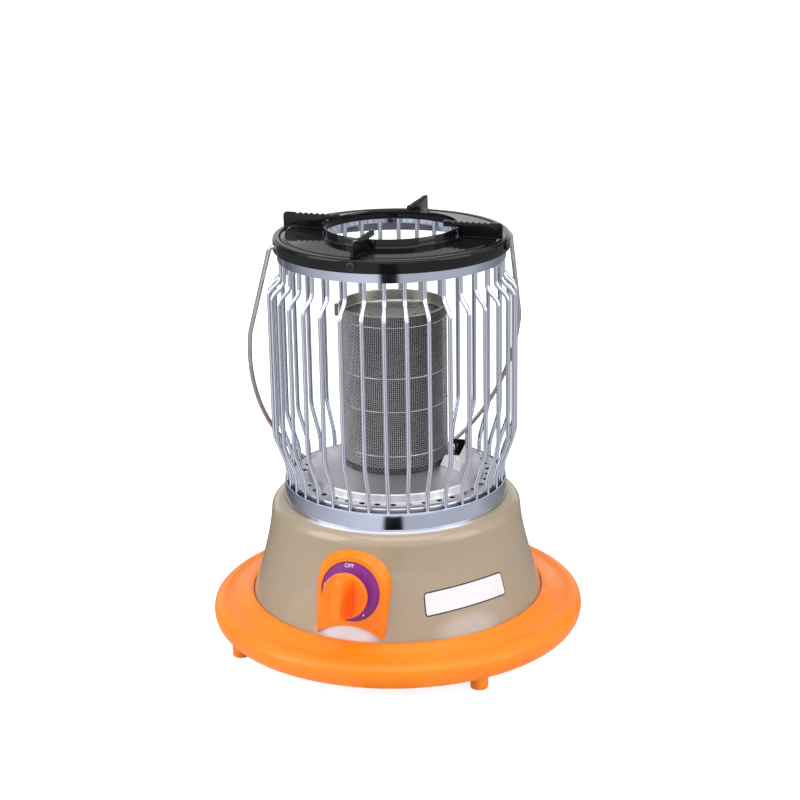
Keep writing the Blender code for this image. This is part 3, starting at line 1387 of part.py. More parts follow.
def probe_outline(radius, collar_r, low, high):
    # A rod with a collar that rests on the dish at the collar's inner side
    seat = dish_height(PROBE_OUT - collar_r) + GAP
    return [
        (radius, low),
        (radius, seat),
        (collar_r, seat),
        (collar_r, seat + collar_r / 2),
        (radius, seat + collar_r),
        (radius, high),
    ]


def make_probes():
    insulator = probe_outline(INSULATOR_R, INSULATOR_COLLAR_R, INSULATOR_LOW_Z,
                              INSULATOR_HIGH_Z)
    bore_r = ELECTRODE_R + GAP
    insulator += [(bore_r, INSULATOR_HIGH_Z), (bore_r, INSULATOR_LOW_Z)]
    spot = SHIELD_TURN @ Matrix.Translation((PROBE_OUT, ELECTRODE_SIDE, 0))
    piece("electrode_insulator", turned(insulator, SMALL_SEGMENTS), "ceramic", None, spot)

    burner_gap = GAUZE_R + ELECTRODE_TIP_GAP
    tip_x = math.sqrt(burner_gap ** 2 - ELECTRODE_SIDE ** 2)
    rod = [
        SHIELD_TURN @ Vector((PROBE_OUT, ELECTRODE_SIDE, ELECTRODE_LOW_Z)),
        SHIELD_TURN @ Vector((PROBE_OUT, ELECTRODE_SIDE, ELECTRODE_BEND_Z)),
        SHIELD_TURN @ Vector((tip_x, ELECTRODE_SIDE, ELECTRODE_BEND_Z + ELECTRODE_TIP_GAP)),
    ]
    wire_piece("ignition_electrode", rounded(rod, ELECTRODE_TIP_GAP), ELECTRODE_R,
               "bright_wire")

    sensor = probe_outline(SENSOR_R, SENSOR_COLLAR_R, SENSOR_LOW_Z, SENSOR_HIGH_Z)
    tip_z = SENSOR_HIGH_Z + SENSOR_R
    sensor = [(0, SENSOR_LOW_Z), *sensor, (SENSOR_R / 2, tip_z), (0, tip_z)]
    spot = SHIELD_TURN @ Matrix.Translation((PROBE_OUT, SENSOR_SIDE, 0))
    piece("flame_sensor", turned(sensor, SMALL_SEGMENTS), "copper_pipe", None, spot)


for item in list(bpy.data.objects):
    bpy.data.objects.remove(item)

STOVE = bpy.data.objects.new("stove", None)
bpy.context.scene.collection.objects.link(STOVE)

make_base_ring()
make_feet()
make_housing()
make_pan()
make_guard_cage()
make_top_plate()
make_supports()
make_screws()
make_bail()
make_dish()
make_burner()
make_mixer()
PANEL_AXIS = empty("panel_axis", None, PANEL)
make_bezel(PANEL_AXIS)
make_knob(PANEL_AXIS)
make_valve(PANEL_AXIS)
make_nipple()
make_pipes()
make_shield()
make_probes()
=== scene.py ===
# Catalytic gas heater stove: the look of every piece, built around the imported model
import math

import bpy
from mathutils import Matrix, Vector


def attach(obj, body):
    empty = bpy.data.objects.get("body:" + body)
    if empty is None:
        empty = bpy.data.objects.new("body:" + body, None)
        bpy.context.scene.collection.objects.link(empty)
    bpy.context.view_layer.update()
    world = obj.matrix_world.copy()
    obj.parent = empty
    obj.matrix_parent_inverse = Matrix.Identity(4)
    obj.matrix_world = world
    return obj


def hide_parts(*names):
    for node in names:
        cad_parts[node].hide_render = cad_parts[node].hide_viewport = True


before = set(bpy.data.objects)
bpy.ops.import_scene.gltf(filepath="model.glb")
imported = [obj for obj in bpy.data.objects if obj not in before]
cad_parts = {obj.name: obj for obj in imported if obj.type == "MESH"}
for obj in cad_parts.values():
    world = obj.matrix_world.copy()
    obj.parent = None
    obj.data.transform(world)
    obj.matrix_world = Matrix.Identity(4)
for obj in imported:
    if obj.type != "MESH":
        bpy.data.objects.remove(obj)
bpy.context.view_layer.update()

# Camera. It stands a little to the right of the knob and looks down on the stove, as the
# photograph does, and it leans about one degree.
CAMERA_PLACE = (0.5274, -1.5316, 0.7396)
CAMERA_TURN = math.radians(19.0)
CAMERA_TILT = math.radians(90 - 17.906)
CAMERA_LEAN = math.radians(-1.036)
FILM_WIDTH = 36
FOCAL_LENGTH = 85.08
FRAME_SHIFT = 0.0071
lens = bpy.data.cameras.new("camera")
lens.sensor_width = FILM_WIDTH
lens.lens = FOCAL_LENGTH
lens.shift_x = FRAME_SHIFT
camera = bpy.data.objects.new("camera", lens)
camera.location = CAMERA_PLACE
turn = Matrix.Rotation(CAMERA_TURN, 3, "Z")
tilt = Matrix.Rotation(CAMERA_TILT, 3, "X")
lean = Matrix.Rotation(CAMERA_LEAN, 3, "Z")
camera.rotation_euler = (turn @ tilt @ lean).to_euler()
bpy.context.scene.collection.objects.link(camera)
bpy.context.scene.camera = camera
bpy.context.scene.view_settings.view_transform = "Standard"


# Studio. A pale floor and a white surround, large soft lamps on both sides and above, and
# cards that only the polished metal mirrors.
ROOM_FILL = 0.62
FLOOR_SIZE = 14
FLOOR_PAPER = (0.80, 0.80, 0.80)
FLOOR_LIFT = 0.80
MIRROR_FLOOR_SIZE = 8
MIRROR_FLOOR_Z = 0.0004
SUBJECT_HEIGHT = 0.20


def add_node(tree, kind, **values):
    """Adds a shader node and sets its properties or named inputs."""
    node = tree.nodes.new("ShaderNode" + kind)
    for key, value in values.items():
        if hasattr(node, key):
            setattr(node, key, value)
        else:
            node.inputs[key].default_value = value
    return node


def wire(tree, *pairs):
    """Links shader sockets two by two."""
    for source, target in pairs:
        tree.links.new(source, target)


def seen_directly(tree):
    """Mask that is one for what the camera, metal and glass see."""
    light_path = add_node(tree, "LightPath")
    total = None
    for ray in ("Is Camera Ray", "Is Glossy Ray", "Is Transmission Ray"):
        if total is None:
            total = light_path.outputs[ray]
            continue
        larger = add_node(tree, "Math", operation="MAXIMUM")
        wire(tree, (total, larger.inputs[0]), (light_path.outputs[ray], larger.inputs[1]))
        total = larger.outputs[0]
    return total


def glow_only(item, name):
    """Gives a stage piece a black material that only glows, and returns its shader node."""
    item.data.materials.append(bpy.data.materials.new(name))
    item.data.materials[0].use_nodes = True
    shader = item.data.materials[0].node_tree.nodes["Principled BSDF"]
    shader.inputs["Base Color"].default_value = (0, 0, 0, 1)
    shader.inputs["Specular IOR Level"].default_value = 0
    return shader


def show_mirrored_only(item):
    """Hides a stage piece from all rays but the mirrored ones."""
    for ray in ("camera", "diffuse", "shadow", "transmission"):
        setattr(item, "visible_" + ray, False)


surround = bpy.data.worlds.new("surround")
surround.use_nodes = True
bpy.context.scene.world = surround
air = surround.node_tree
strength = add_node(air, "MapRange", **{"To Min": ROOM_FILL, "To Max": 1.0})
background = air.nodes["Background"]
background.inputs["Color"].default_value = (1, 1, 1, 1)
wire(air, (seen_directly(air), strength.inputs["Value"]),
     (strength.outputs[0], background.inputs["Strength"]))

bpy.ops.object.select_all(action="DESELECT")
bpy.ops.mesh.primitive_plane_add(size=FLOOR_SIZE)
floor = bpy.context.object
floor.name = "floor"
floor.data.materials.append(bpy.data.materials.new("floor_paper"))
floor.data.materials[0].use_nodes = True
paper = floor.data.materials[0].node_tree
shader = paper.nodes["Principled BSDF"]
shader.inputs["Base Color"].default_value = (*FLOOR_PAPER, 1)
shader.inputs["Roughness"].default_value = 0.9
shader.inputs["Specular IOR Level"].default_value = 0.1
shader.inputs["Emission Color"].default_value = (1, 1, 1, 1)
lift = add_node(paper, "Math", operation="MULTIPLY")
lift.inputs[1].default_value = FLOOR_LIFT
wire(paper, (seen_directly(paper), lift.inputs[0]),
     (lift.outputs[0], shader.inputs["Emission Strength"]))


def studio_place(azimuth, elevation, distance):
    """Place and turn of something that faces the stove, from an azimuth off the camera's."""
    spin = Matrix.Rotation(CAMERA_TURN + math.radians(azimuth), 4, "Z")
    away = Matrix.Rotation(-math.radians(elevation), 4, "X") @ Matrix.Translation((0, -distance, 0))
    facing = Matrix.Rotation(math.radians(90), 4, "X")
    return Matrix.Translation((0, 0, SUBJECT_HEIGHT)) @ spin @ away @ facing


# Azimuth and elevation in degrees, distance and size in metres, power in watts
for name, azimuth, elevation, distance, width, height, power in (
    ("lamp_left", -68, 28, 1.9, 1.1, 1.5, 16),
    ("lamp_right", 62, 26, 1.9, 1.1, 1.5, 11.5),
    ("lamp_top", 10, 72, 1.7, 1.5, 1.5, 15),
):
    lamp = bpy.data.lights.new(name, "AREA")
    lamp.shape = "RECTANGLE"
    lamp.size = width
    lamp.size_y = height
    lamp.energy = power
    stand = bpy.data.objects.new(name, lamp)
    stand.matrix_world = studio_place(azimuth, elevation, distance)
    bpy.context.scene.collection.objects.link(stand)

for name, azimuth, elevation, distance, width, height, shade in (
    ("card_left", -118, 10, 2.6, 1.6, 2.4, 0.16),
    ("card_right", 128, 10, 2.6, 1.6, 2.4, 0.16),
    ("card_back", 178, 38, 3.0, 5.0, 2.2, 0.52),
):
    bpy.ops.mesh.primitive_plane_add(size=1)
    card = bpy.context.object
    card.name = name
    card.scale = (width, height, 1)
    bpy.ops.object.transform_apply(location=False, rotation=False, scale=True)
    card.matrix_world = studio_place(azimuth, elevation, distance)
    shader = glow_only(card, name + "_felt")
    shader.inputs["Emission Color"].default_value = (1, 1, 1, 1)
    shader.inputs["Emission Strength"].default_value = shade
    show_mirrored_only(card)

# Tone of the floor as polished metal sees it, by azimuth off the camera's: upright metal seen
# from above mirrors the floor, so its dark stripe and grey sides come from here
FLOOR_TONES = (
    (-180, 0.15), (-125, 0.17), (-85, 0.55), (-40, 0.85), (-24, 0.92), (-13.5, 0.92), (-10.5, 0.01),
    (4.5, 0.01), (7.5, 0.64), (40, 0.64), (52, 0.62), (84, 0.62), (100, 0.42), (130, 0.25), (180, 0.30),
)
bpy.ops.mesh.primitive_plane_add(size=MIRROR_FLOOR_SIZE, location=(0, 0, MIRROR_FLOOR_Z))
mirror_floor = bpy.context.object
mirror_floor.name = "card_floor"
mirror_floor.rotation_euler.z = CAMERA_TURN
shader = glow_only(mirror_floor, "card_floor_tones")
shader.inputs["Emission Strength"].default_value = 1
tones = shader.id_data
where = add_node(tones, "TexCoord")
quarter = add_node(tones, "Mapping", Rotation=(0, 0, math.radians(90)))
around = add_node(tones, "TexGradient", gradient_type="RADIAL")
ramp = add_node(tones, "ValToRGB")
stops = ramp.color_ramp.elements
stops.remove(stops[1])
stops[0].color = (*[FLOOR_TONES[0][1]] * 3, 1)
for azimuth, shade in FLOOR_TONES[1:]:
    stops.new((azimuth + 180) / 360).color = (shade, shade, shade, 1)
wire(
    tones,
    (where.outputs["Object"], quarter.inputs["Vector"]),
    (quarter.outputs[0], around.inputs["Vector"]),
    (around.outputs["Color"], ramp.inputs["Fac"]),
    (ramp.outputs["Color"], shader.inputs["Emission Color"]),
)
show_mirrored_only(mirror_floor)


# Base ring. One orange moulding: a crowned skirt with a lip round the housing's foot, a flat
# shelf under the housing's flange, and a boss for each foot. It is glossy injection moulded
# plastic with a faint orange peel.
RING_LIP_IN = 0.1333
RING_LIP_Z = 0.0395
RING_SHELF_R = 0.1180
RING_SHELF_Z = 0.0372
RING_WALL = 0.0026
RING_EDGE_R = 0.0007
MERGE_GAP = 0.00001
RING_FACE = (
    (0.1374, 0.0392),
    (0.1450, 0.0352),
    (0.1530, 0.0326),
    (0.1612, 0.0329),
    (0.1680, 0.0290),
    (0.1700, 0.0228),
    (0.1690, 0.0165),
    (0.1660, 0.0117),
)
ORANGE = (1.0, 0.255, 0.006)
ORANGE_DEEP = (0.95, 0.215, 0.003)


def smooth_line(points, steps):
    """Catmull-Rom curve through the points of a profile, its ends doubled."""
    spread = [points[0], *points, points[-1]]
    line = [Vector(points[0])]
    for index in range(len(points) - 1):
        before, start, end, after = (Vector(point) for point in spread[index : index + 4])
        for step in range(1, steps + 1):
            t = step / steps
            bend = (2 * before - 5 * start + 4 * end - after) * t * t
            twist = (3 * start - before - 3 * end + after) * t * t * t
            line.append(start + ((end - before) * t + bend + twist) / 2)
    return line


def eased(corners, steps=4):
    """Profile whose corners, given as radius, height and set-back, are rounded bends."""
    line = [Vector(corners[0][:2])]
    for before, corner, after in zip(corners, corners[1:], corners[2:]):
        here = Vector(corner[:2])
        start = here + (Vector(before[:2]) - here).normalized() * corner[2]
        end = here + (Vector(after[:2]) - here).normalized() * corner[2]
        for step in range(steps + 1):
            t = step / steps
            line.append(start.lerp(here, t).lerp(here.lerp(end, t), t))
    line.append(Vector(corners[-1][:2]))
    return line


def take(shape):
    """Selects one piece alone and makes it the active one."""
    bpy.ops.object.select_all(action="DESELECT")
    shape.select_set(True)
    bpy.context.view_layer.objects.active = shape


def settle(place=None):
    """Puts the selected piece in its place and applies place, turn and size to its mesh."""
    if place is not None:
        bpy.context.object.matrix_world = place
    bpy.ops.object.transform_apply(location=True, rotation=True, scale=True)


def edit_all():
    """Enters edit mode on the active piece with all of its mesh selected."""
    bpy.ops.object.mode_set(mode="EDIT")
    bpy.ops.mesh.select_all(action="SELECT")


def leave_edit():
    """Turns every face outwards and leaves edit mode."""
    bpy.ops.mesh.select_all(action="SELECT")
    bpy.ops.mesh.normals_make_consistent(inside=False)
    bpy.ops.object.mode_set(mode="OBJECT")


def spun(name, profile, segments=128, wall=0.0, closed=False):
    """Spins a profile of radii and heights: a circle extruded and resized point by point."""
    points = [Vector(point) for point in profile]
    if closed:
        points.append(points[0])
    bpy.ops.object.select_all(action="DESELECT")
    bpy.ops.mesh.primitive_circle_add(
        vertices=segments, radius=points[0].x, location=(0, 0, points[0].y)
    )
    shape = bpy.context.object
    shape.name = name
    edit_all()
    for low, high in zip(points, points[1:]):
        bpy.ops.mesh.extrude_edges_move(TRANSFORM_OT_translate={"value": (0, 0, high.y - low.y)})
        ratio = high.x / low.x
        bpy.ops.transform.resize(value=(ratio, ratio, 1), center_override=(0, 0, 0))
    bpy.ops.mesh.select_all(action="SELECT")
    bpy.ops.mesh.remove_doubles(threshold=MERGE_GAP)
    leave_edit()
    settle()
    if wall:
        sheet = shape.modifiers.new("wall", "SOLIDIFY")
        sheet.thickness = abs(wall)
        sheet.offset = -1 if wall > 0 else 1
        sheet.use_even_offset = True
        bpy.ops.object.modifier_apply(modifier="wall")
    return shape


def add_bevel(shape, width, segments=2, degrees=40):
    """Rounds a piece's sharp edges and applies the modifier."""
    bpy.context.view_layer.objects.active = shape
    edge = shape.modifiers.new("edge", "BEVEL")
    edge.width = width
    edge.segments = segments
    edge.limit_method = "ANGLE"
    edge.angle_limit = math.radians(degrees)
    edge.use_clamp_overlap = True
    bpy.ops.object.modifier_apply(modifier="edge")


def fit(shape, body, slot, *nodes, smooth=35):
    """Shades a finished piece, seats it on its body and hides the CAD nodes it stands for."""
    take(shape)
    if smooth:
        bpy.ops.object.shade_smooth_by_angle(angle=math.radians(smooth))
    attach(shape, body)
    if nodes:
        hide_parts(*nodes)


def effect_group(name, inputs, outputs):
    """Empty shader node group with named float and vector sockets."""
    group = bpy.data.node_groups.new(name, "ShaderNodeTree")
    for socket, kind in inputs:
        group.interface.new_socket(socket, in_out="INPUT", socket_type="NodeSocket" + kind)
    for socket, kind in outputs:
        group.interface.new_socket(socket, in_out="OUTPUT", socket_type="NodeSocket" + kind)
    return group, group.nodes.new("NodeGroupInput"), group.nodes.new("NodeGroupOutput")


# Moulded skin: a fine orange peel, and soft patches where the gloss is rubbed
moulded_skin, skin_in, skin_out = effect_group(
    "moulded_skin",
    (("Vector", "Vector"), ("Peel Scale", "Float"), ("Patch Scale", "Float")),
    (("Height", "Float"), ("Mask", "Float")),
)
peel = add_node(moulded_skin, "TexNoise", Detail=2.0)
patches = add_node(moulded_skin, "TexNoise", Detail=5.0, Roughness=0.6)
even = add_node(moulded_skin, "MapRange", **{"From Min": 0.30, "From Max": 0.70})
wire(
    moulded_skin,
    (skin_in.outputs["Vector"], peel.inputs["Vector"]),
    (skin_in.outputs["Peel Scale"], peel.inputs["Scale"]),
    (skin_in.outputs["Vector"], patches.inputs["Vector"]),
    (skin_in.outputs["Patch Scale"], patches.inputs["Scale"]),
    (patches.outputs["Fac"], even.inputs["Value"]),
    (peel.outputs["Fac"], skin_out.inputs["Height"]),
    (even.outputs[0], skin_out.inputs["Mask"]),
)


def surface(name, group, scales, light, dark, rough, metallic=0.0, bump=0.1, depth=0.0002, **sockets):
    """Material whose colour, roughness and relief come from a shared effect group."""
    material = bpy.data.materials.new(name)
    material.use_nodes = True
    tree = material.node_tree
    shader = tree.nodes["Principled BSDF"]
    shader.inputs["Metallic"].default_value = metallic
    for socket, value in sockets.items():
        shader.inputs[socket.replace("_", " ")].default_value = value
    place = add_node(tree, "TexCoord")
    effect = tree.nodes.new("ShaderNodeGroup")
    effect.node_tree = group
    for socket, value in scales.items():
        effect.inputs[socket].default_value = value
    tint = add_node(tree, "Mix", data_type="RGBA")
    tint.inputs[6].default_value = (*light, 1)
    tint.inputs[7].default_value = (*dark, 1)
    gloss = add_node(tree, "MapRange", **{"To Min": rough[0], "To Max": rough[1]})
    relief = add_node(tree, "Bump", Strength=bump, Distance=depth)
    wire(
        tree,
        (place.outputs["Object"], effect.inputs["Vector"]),
        (effect.outputs["Mask"], tint.inputs["Factor"]),
        (tint.outputs[2], shader.inputs["Base Color"]),
        (effect.outputs["Mask"], gloss.inputs["Value"]),
        (gloss.outputs[0], shader.inputs["Roughness"]),
        (effect.outputs["Height"], relief.inputs["Height"]),
        (relief.outputs[0], shader.inputs["Normal"]),
    )
    return material


orange_plastic = surface(
    "orange_plastic", moulded_skin, {"Peel Scale": 900, "Patch Scale": 22},
    ORANGE, ORANGE_DEEP, (0.30, 0.40), bump=0.10, depth=0.00015, Specular_IOR_Level=0.38,
)
ring_skin = smooth_line(RING_FACE, 4)
ring_under = [(point.x - RING_WALL, point.y - RING_WALL) for point in ring_skin[8:-5]]
ring_profile = [
    (RING_SHELF_R, RING_SHELF_Z),
    (RING_LIP_IN, RING_SHELF_Z),
    (RING_LIP_IN, RING_LIP_Z),
    *ring_skin,
    (RING_FACE[-1][0] - RING_WALL, RING_FACE[-1][1]),
    *reversed(ring_under),
    (RING_FACE[0][0], RING_SHELF_Z - RING_WALL),
    (RING_SHELF_R, RING_SHELF_Z - RING_WALL),
]
base_ring = spun("base_ring_skin", ring_profile, segments=160, closed=True)
add_bevel(base_ring, RING_EDGE_R)
base_ring.data.materials.append(orange_plastic)
fit(base_ring, "stove", "orange_plastic", "base_ring")

# Feet. Four short posts of the ring's orange plastic, pushed up into the bosses under its
# shelf. The stove stands on them.
FOOT_R = 0.0078
FOOT_EDGE_R = 0.0012
FOOT_CIRCLE_R = 0.1575
FOOT_BOSS_Z = 0.0300
for number in range(4):
    angle = math.radians(45 + 90 * number)
    place = (FOOT_CIRCLE_R * math.cos(angle), FOOT_CIRCLE_R * math.sin(angle), FOOT_BOSS_Z / 2)
    bpy.ops.object.select_all(action="DESELECT")
    bpy.ops.mesh.primitive_cylinder_add(vertices=40, radius=FOOT_R, depth=FOOT_BOSS_Z, location=place)
    foot = bpy.context.object
    foot.name = "foot_post_%d" % (number + 1)
    settle()
    add_bevel(foot, FOOT_EDGE_R, segments=3)
    foot.data.materials.append(orange_plastic)
    fit(foot, "stove", "orange_plastic", "foot_%d" % (number + 1))


# Housing. A flared body spun from thin sheet, rolled over at the shoulder and down inside to
# the ledge that carries the burner dish, sprayed in champagne metallic paint.
HOUSING_FOOT = (0.1331, 0.0375)
HOUSING_TOP_R = 0.1136
HOUSING_TOP_Z = 0.1290
HOUSING_WALL_R = 0.1008
HOUSING_FLANGE = 0.0125
HOUSING_LIP_R = 0.0002
SHOULDER_R = 0.0114
SHOULDER_STEPS = 12
FLARE_POWER = 1.4
FLARE_STEPS = 10
HOUSING_SHEET = 0.0008
LEDGE = (0.0835, 0.1180)
CHAMPAGNE = (0.405, 0.328, 0.236)
CHAMPAGNE_DEEP = (0.368, 0.294, 0.206)
# Painted shade: near black for the inner and under faces of the housing and the dish
INSIDE_SHADE = (0.012, 0.012, 0.013)
INSIDE_SHADE_DEEP = (0.020, 0.020, 0.021)
INSIDE_SLOPE = 0.05
shoulder_z = HOUSING_TOP_Z - SHOULDER_R
flare = []
for step in range(FLARE_STEPS + 1):
    drop = 1 - step / FLARE_STEPS
    radius = HOUSING_TOP_R + (HOUSING_FOOT[0] - HOUSING_TOP_R) * drop ** FLARE_POWER
    flare.append((radius, shoulder_z - (shoulder_z - HOUSING_FOOT[1]) * drop))
shoulder = []
for step in range(1, SHOULDER_STEPS + 1):
    angle = math.radians(90 * step / SHOULDER_STEPS)
    shoulder.append((HOUSING_TOP_R - SHOULDER_R + SHOULDER_R * math.cos(angle),
                     shoulder_z + SHOULDER_R * math.sin(angle)))
housing_profile = [
    (HOUSING_FOOT[0] - HOUSING_FLANGE, HOUSING_FOOT[1]),
    *flare,
    *shoulder,
    *eased((
        (shoulder[-1][0], HOUSING_TOP_Z, 0),
        (HOUSING_WALL_R, HOUSING_TOP_Z, HOUSING_LIP_R),
        (HOUSING_WALL_R, LEDGE[1], 0),
    )),
    LEDGE,
]
housing = spun("housing_body", housing_profile, segments=160, wall=HOUSING_SHEET)

# Sprayed metallic paint: fine bright flakes under a thin clear coat
flake_paint, paint_in, paint_out = effect_group(
    "flake_paint",
    (("Vector", "Vector"), ("Flake Scale", "Float"), ("Patch Scale", "Float")),
    (("Height", "Float"), ("Mask", "Float")),
)
flakes = add_node(flake_paint, "TexVoronoi")
cloud = add_node(flake_paint, "TexNoise", Detail=4.0)
blended = add_node(flake_paint, "Math", operation="MULTIPLY_ADD")
blended.inputs[1].default_value = 0.55
cloud_part = add_node(flake_paint, "Math", operation="MULTIPLY")
cloud_part.inputs[1].default_value = 0.45
tone = add_node(flake_paint, "SeparateColor")
wire(
    flake_paint,
    (paint_in.outputs["Vector"], flakes.inputs["Vector"]),
    (paint_in.outputs["Flake Scale"], flakes.inputs["Scale"]),
    (paint_in.outputs["Vector"], cloud.inputs["Vector"]),
    (paint_in.outputs["Patch Scale"], cloud.inputs["Scale"]),
    (flakes.outputs["Color"], tone.inputs[0]),
    (cloud.outputs["Fac"], cloud_part.inputs[0]),
    (tone.outputs[0], blended.inputs[0]),
    (cloud_part.outputs[0], blended.inputs[2]),
    (cloud.outputs["Fac"], paint_out.inputs["Height"]),
    (blended.outputs[0], paint_out.inputs["Mask"]),
)
champagne_paint = surface(
    "champagne_paint", flake_paint, {"Flake Scale": 1500, "Patch Scale": 260},
    CHAMPAGNE, CHAMPAGNE_DEEP, (0.42, 0.52), metallic=0.10, bump=0.06,
    Specular_IOR_Level=0.2, Coat_Weight=0.8, Coat_Roughness=0.03,
)

# Painted reflection and highlight: a pale tone blended into the paint in spots of glare and in a band
# along the rim's front
GLARE_TONE = (0.76, 0.74, 0.79)
RIM_HIGHLIGHT_Z = (0.1283, 0.1289)
RIM_HIGHLIGHT_TURN = math.radians(-14.5)
RIM_HIGHLIGHT_FRONT = (-0.0700, -0.0860)
GLARE_SPOTS = (
    ((-0.001, -0.131, 0.0440), (0.037, 0.018, 0.0130), 0.88),
    ((0.0970, -0.0900, 0.0430), (0.036, 0.036, 0.0170), 0.28),
)


def blend_towards(material, mask, tone):
    """Mixes a material's colour with a tone by a mask."""
    tree = material.node_tree
    blend = add_node(tree, "Mix", data_type="RGBA")
    blend.inputs[7].default_value = (*tone, 1)
    base = tree.nodes["Principled BSDF"].inputs["Base Color"]
    wire(tree, (mask, blend.inputs["Factor"]), (base.links[0].from_socket, blend.inputs[6]))
    wire(tree, (blend.outputs[2], base))


def tint_near(material, tone, place, size, strength):
    """Blends a material's colour towards a tone inside a soft ellipsoid on the piece."""
    tree = material.node_tree
    near = add_node(tree, "Mapping", vector_type="TEXTURE", Location=place, Scale=size)
    ball = add_node(tree, "TexGradient", gradient_type="SPHERICAL")
    mask = add_node(tree, "MapRange", **{"From Max": 0.5, "To Max": strength})
    wire(
        tree,
        (tree.nodes["Texture Coordinate"].outputs["Object"], near.inputs["Vector"]),
        (near.outputs[0], ball.inputs["Vector"]),
        (ball.outputs["Fac"], mask.inputs["Value"]),
    )
    blend_towards(material, mask.outputs[0], tone)


def rising_along(material, turn, axis, start, end):
    """Mask that rises between two places along X, Y or Z, read after a turn about Z."""
    tree = material.node_tree
    turned = add_node(tree, "Mapping", Rotation=(0, 0, turn))
    apart = add_node(tree, "SeparateXYZ")
    mask = add_node(tree, "MapRange", **{"From Min": start, "From Max": end})
    wire(
        tree,
        (tree.nodes["Texture Coordinate"].outputs["Object"], turned.inputs["Vector"]),
        (turned.outputs[0], apart.inputs[0]),
        (apart.outputs[axis], mask.inputs["Value"]),
    )
    return mask.outputs[0]


# The paint is lightened with a painted reflection low on the wall under the panel's arch and to its
# right, and a painted highlight runs along the front of the rim that meets the lower band
for place, size, strength in GLARE_SPOTS:
    tint_near(champagne_paint, GLARE_TONE, place, size, strength)
rim = add_node(champagne_paint.node_tree, "Math", operation="MULTIPLY")
wire(
    champagne_paint.node_tree,
    (rising_along(champagne_paint, RIM_HIGHLIGHT_TURN, "Z", *RIM_HIGHLIGHT_Z), rim.inputs[0]),
    (rising_along(champagne_paint, RIM_HIGHLIGHT_TURN, "Y", *RIM_HIGHLIGHT_FRONT), rim.inputs[1]),
)
blend_towards(champagne_paint, rim.outputs[0], GLARE_TONE)


def line_inside(shape, material, top):
    """Gives the faces below a height that point down or to the axis a second material."""
    shape.data.materials.append(material)
    for face in shape.data.polygons:
        inward = face.normal.x * face.center.x + face.normal.y * face.center.y < 0
        level = abs(face.normal.z) < INSIDE_SLOPE
        if face.center.z < top and (face.normal.z < -INSIDE_SLOPE or inward and level):
            face.material_index = 1


# Painted shade: a near black finish for the inner and under faces, where no light reaches
painted_inside_shade = surface(
    "painted_inside_shade", moulded_skin, {"Peel Scale": 400, "Patch Scale": 40},
    INSIDE_SHADE, INSIDE_SHADE_DEEP, (0.60, 0.75), bump=0.05,
)
housing.data.materials.append(champagne_paint)
line_inside(housing, painted_inside_shade, LEDGE[1])
fit(housing, "stove", "champagne_paint", "housing_shell")

# Floor pan. A pressed steel disc with six air holes, screwed up under the ring's shelf with
# four pan head screws. It is plain galvanised sheet, hidden unless the stove is tipped up.
ZINC = (0.36, 0.36, 0.36)
ZINC_DEEP = (0.27, 0.27, 0.28)
BLACKENED = (0.020, 0.020, 0.022)
BLACKENED_WORN = (0.050, 0.048, 0.046)

# Rolled sheet: faint streaks along the sheet, and cloudy patches of plating
rolled_sheet, sheet_in, sheet_out = effect_group(
    "rolled_sheet",
    (("Vector", "Vector"), ("Grain Scale", "Float"), ("Patch Scale", "Float"), ("Stretch", "Vector")),
    (("Height", "Float"), ("Mask", "Float")),
)
drawn = add_node(rolled_sheet, "VectorMath", operation="MULTIPLY")
grain = add_node(rolled_sheet, "TexNoise", Detail=3.0, Roughness=0.6)
patch = add_node(rolled_sheet, "TexNoise", Detail=4.0, Roughness=0.55)
mixed = add_node(rolled_sheet, "Math", operation="MULTIPLY_ADD")
mixed.inputs[1].default_value = 0.45
share = add_node(rolled_sheet, "Math", operation="MULTIPLY")
share.inputs[1].default_value = 0.55
spread_out = add_node(rolled_sheet, "MapRange", **{"From Min": 0.33, "From Max": 0.67})
wire(
    rolled_sheet,
    (sheet_in.outputs["Vector"], drawn.inputs[0]),
    (sheet_in.outputs["Stretch"], drawn.inputs[1]),
    (drawn.outputs[0], grain.inputs["Vector"]),
    (sheet_in.outputs["Grain Scale"], grain.inputs["Scale"]),
    (sheet_in.outputs["Vector"], patch.inputs["Vector"]),
    (sheet_in.outputs["Patch Scale"], patch.inputs["Scale"]),
    (patch.outputs["Fac"], share.inputs[0]),
    (grain.outputs["Fac"], mixed.inputs[0]),
    (share.outputs[0], mixed.inputs[2]),
    (mixed.outputs[0], spread_out.inputs["Value"]),
    (grain.outputs["Fac"], sheet_out.inputs["Height"]),
    (spread_out.outputs[0], sheet_out.inputs["Mask"]),
)
zinc_sheet = surface(
    "zinc_sheet", rolled_sheet, {"Grain Scale": 300, "Patch Scale": 45, "Stretch": (1, 0.08, 1)},
    ZINC, ZINC_DEEP, (0.32, 0.50), metallic=1.0, bump=0.08,
)
black_steel = surface(
    "black_steel", rolled_sheet, {"Grain Scale": 900, "Patch Scale": 160, "Stretch": (1, 1, 1)},
    BLACKENED, BLACKENED_WORN, (0.28, 0.42), metallic=0.6, bump=0.10,
)


def repaint(material, *nodes):
    """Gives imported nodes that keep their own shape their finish."""
    for node in nodes:
        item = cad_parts[node]
        item.data.materials.clear()
        item.data.materials.append(material)


repaint(zinc_sheet, "bottom_plate", "valve_bracket")
repaint(black_steel, *["base_screw_%d" % number for number in range(1, 5)])

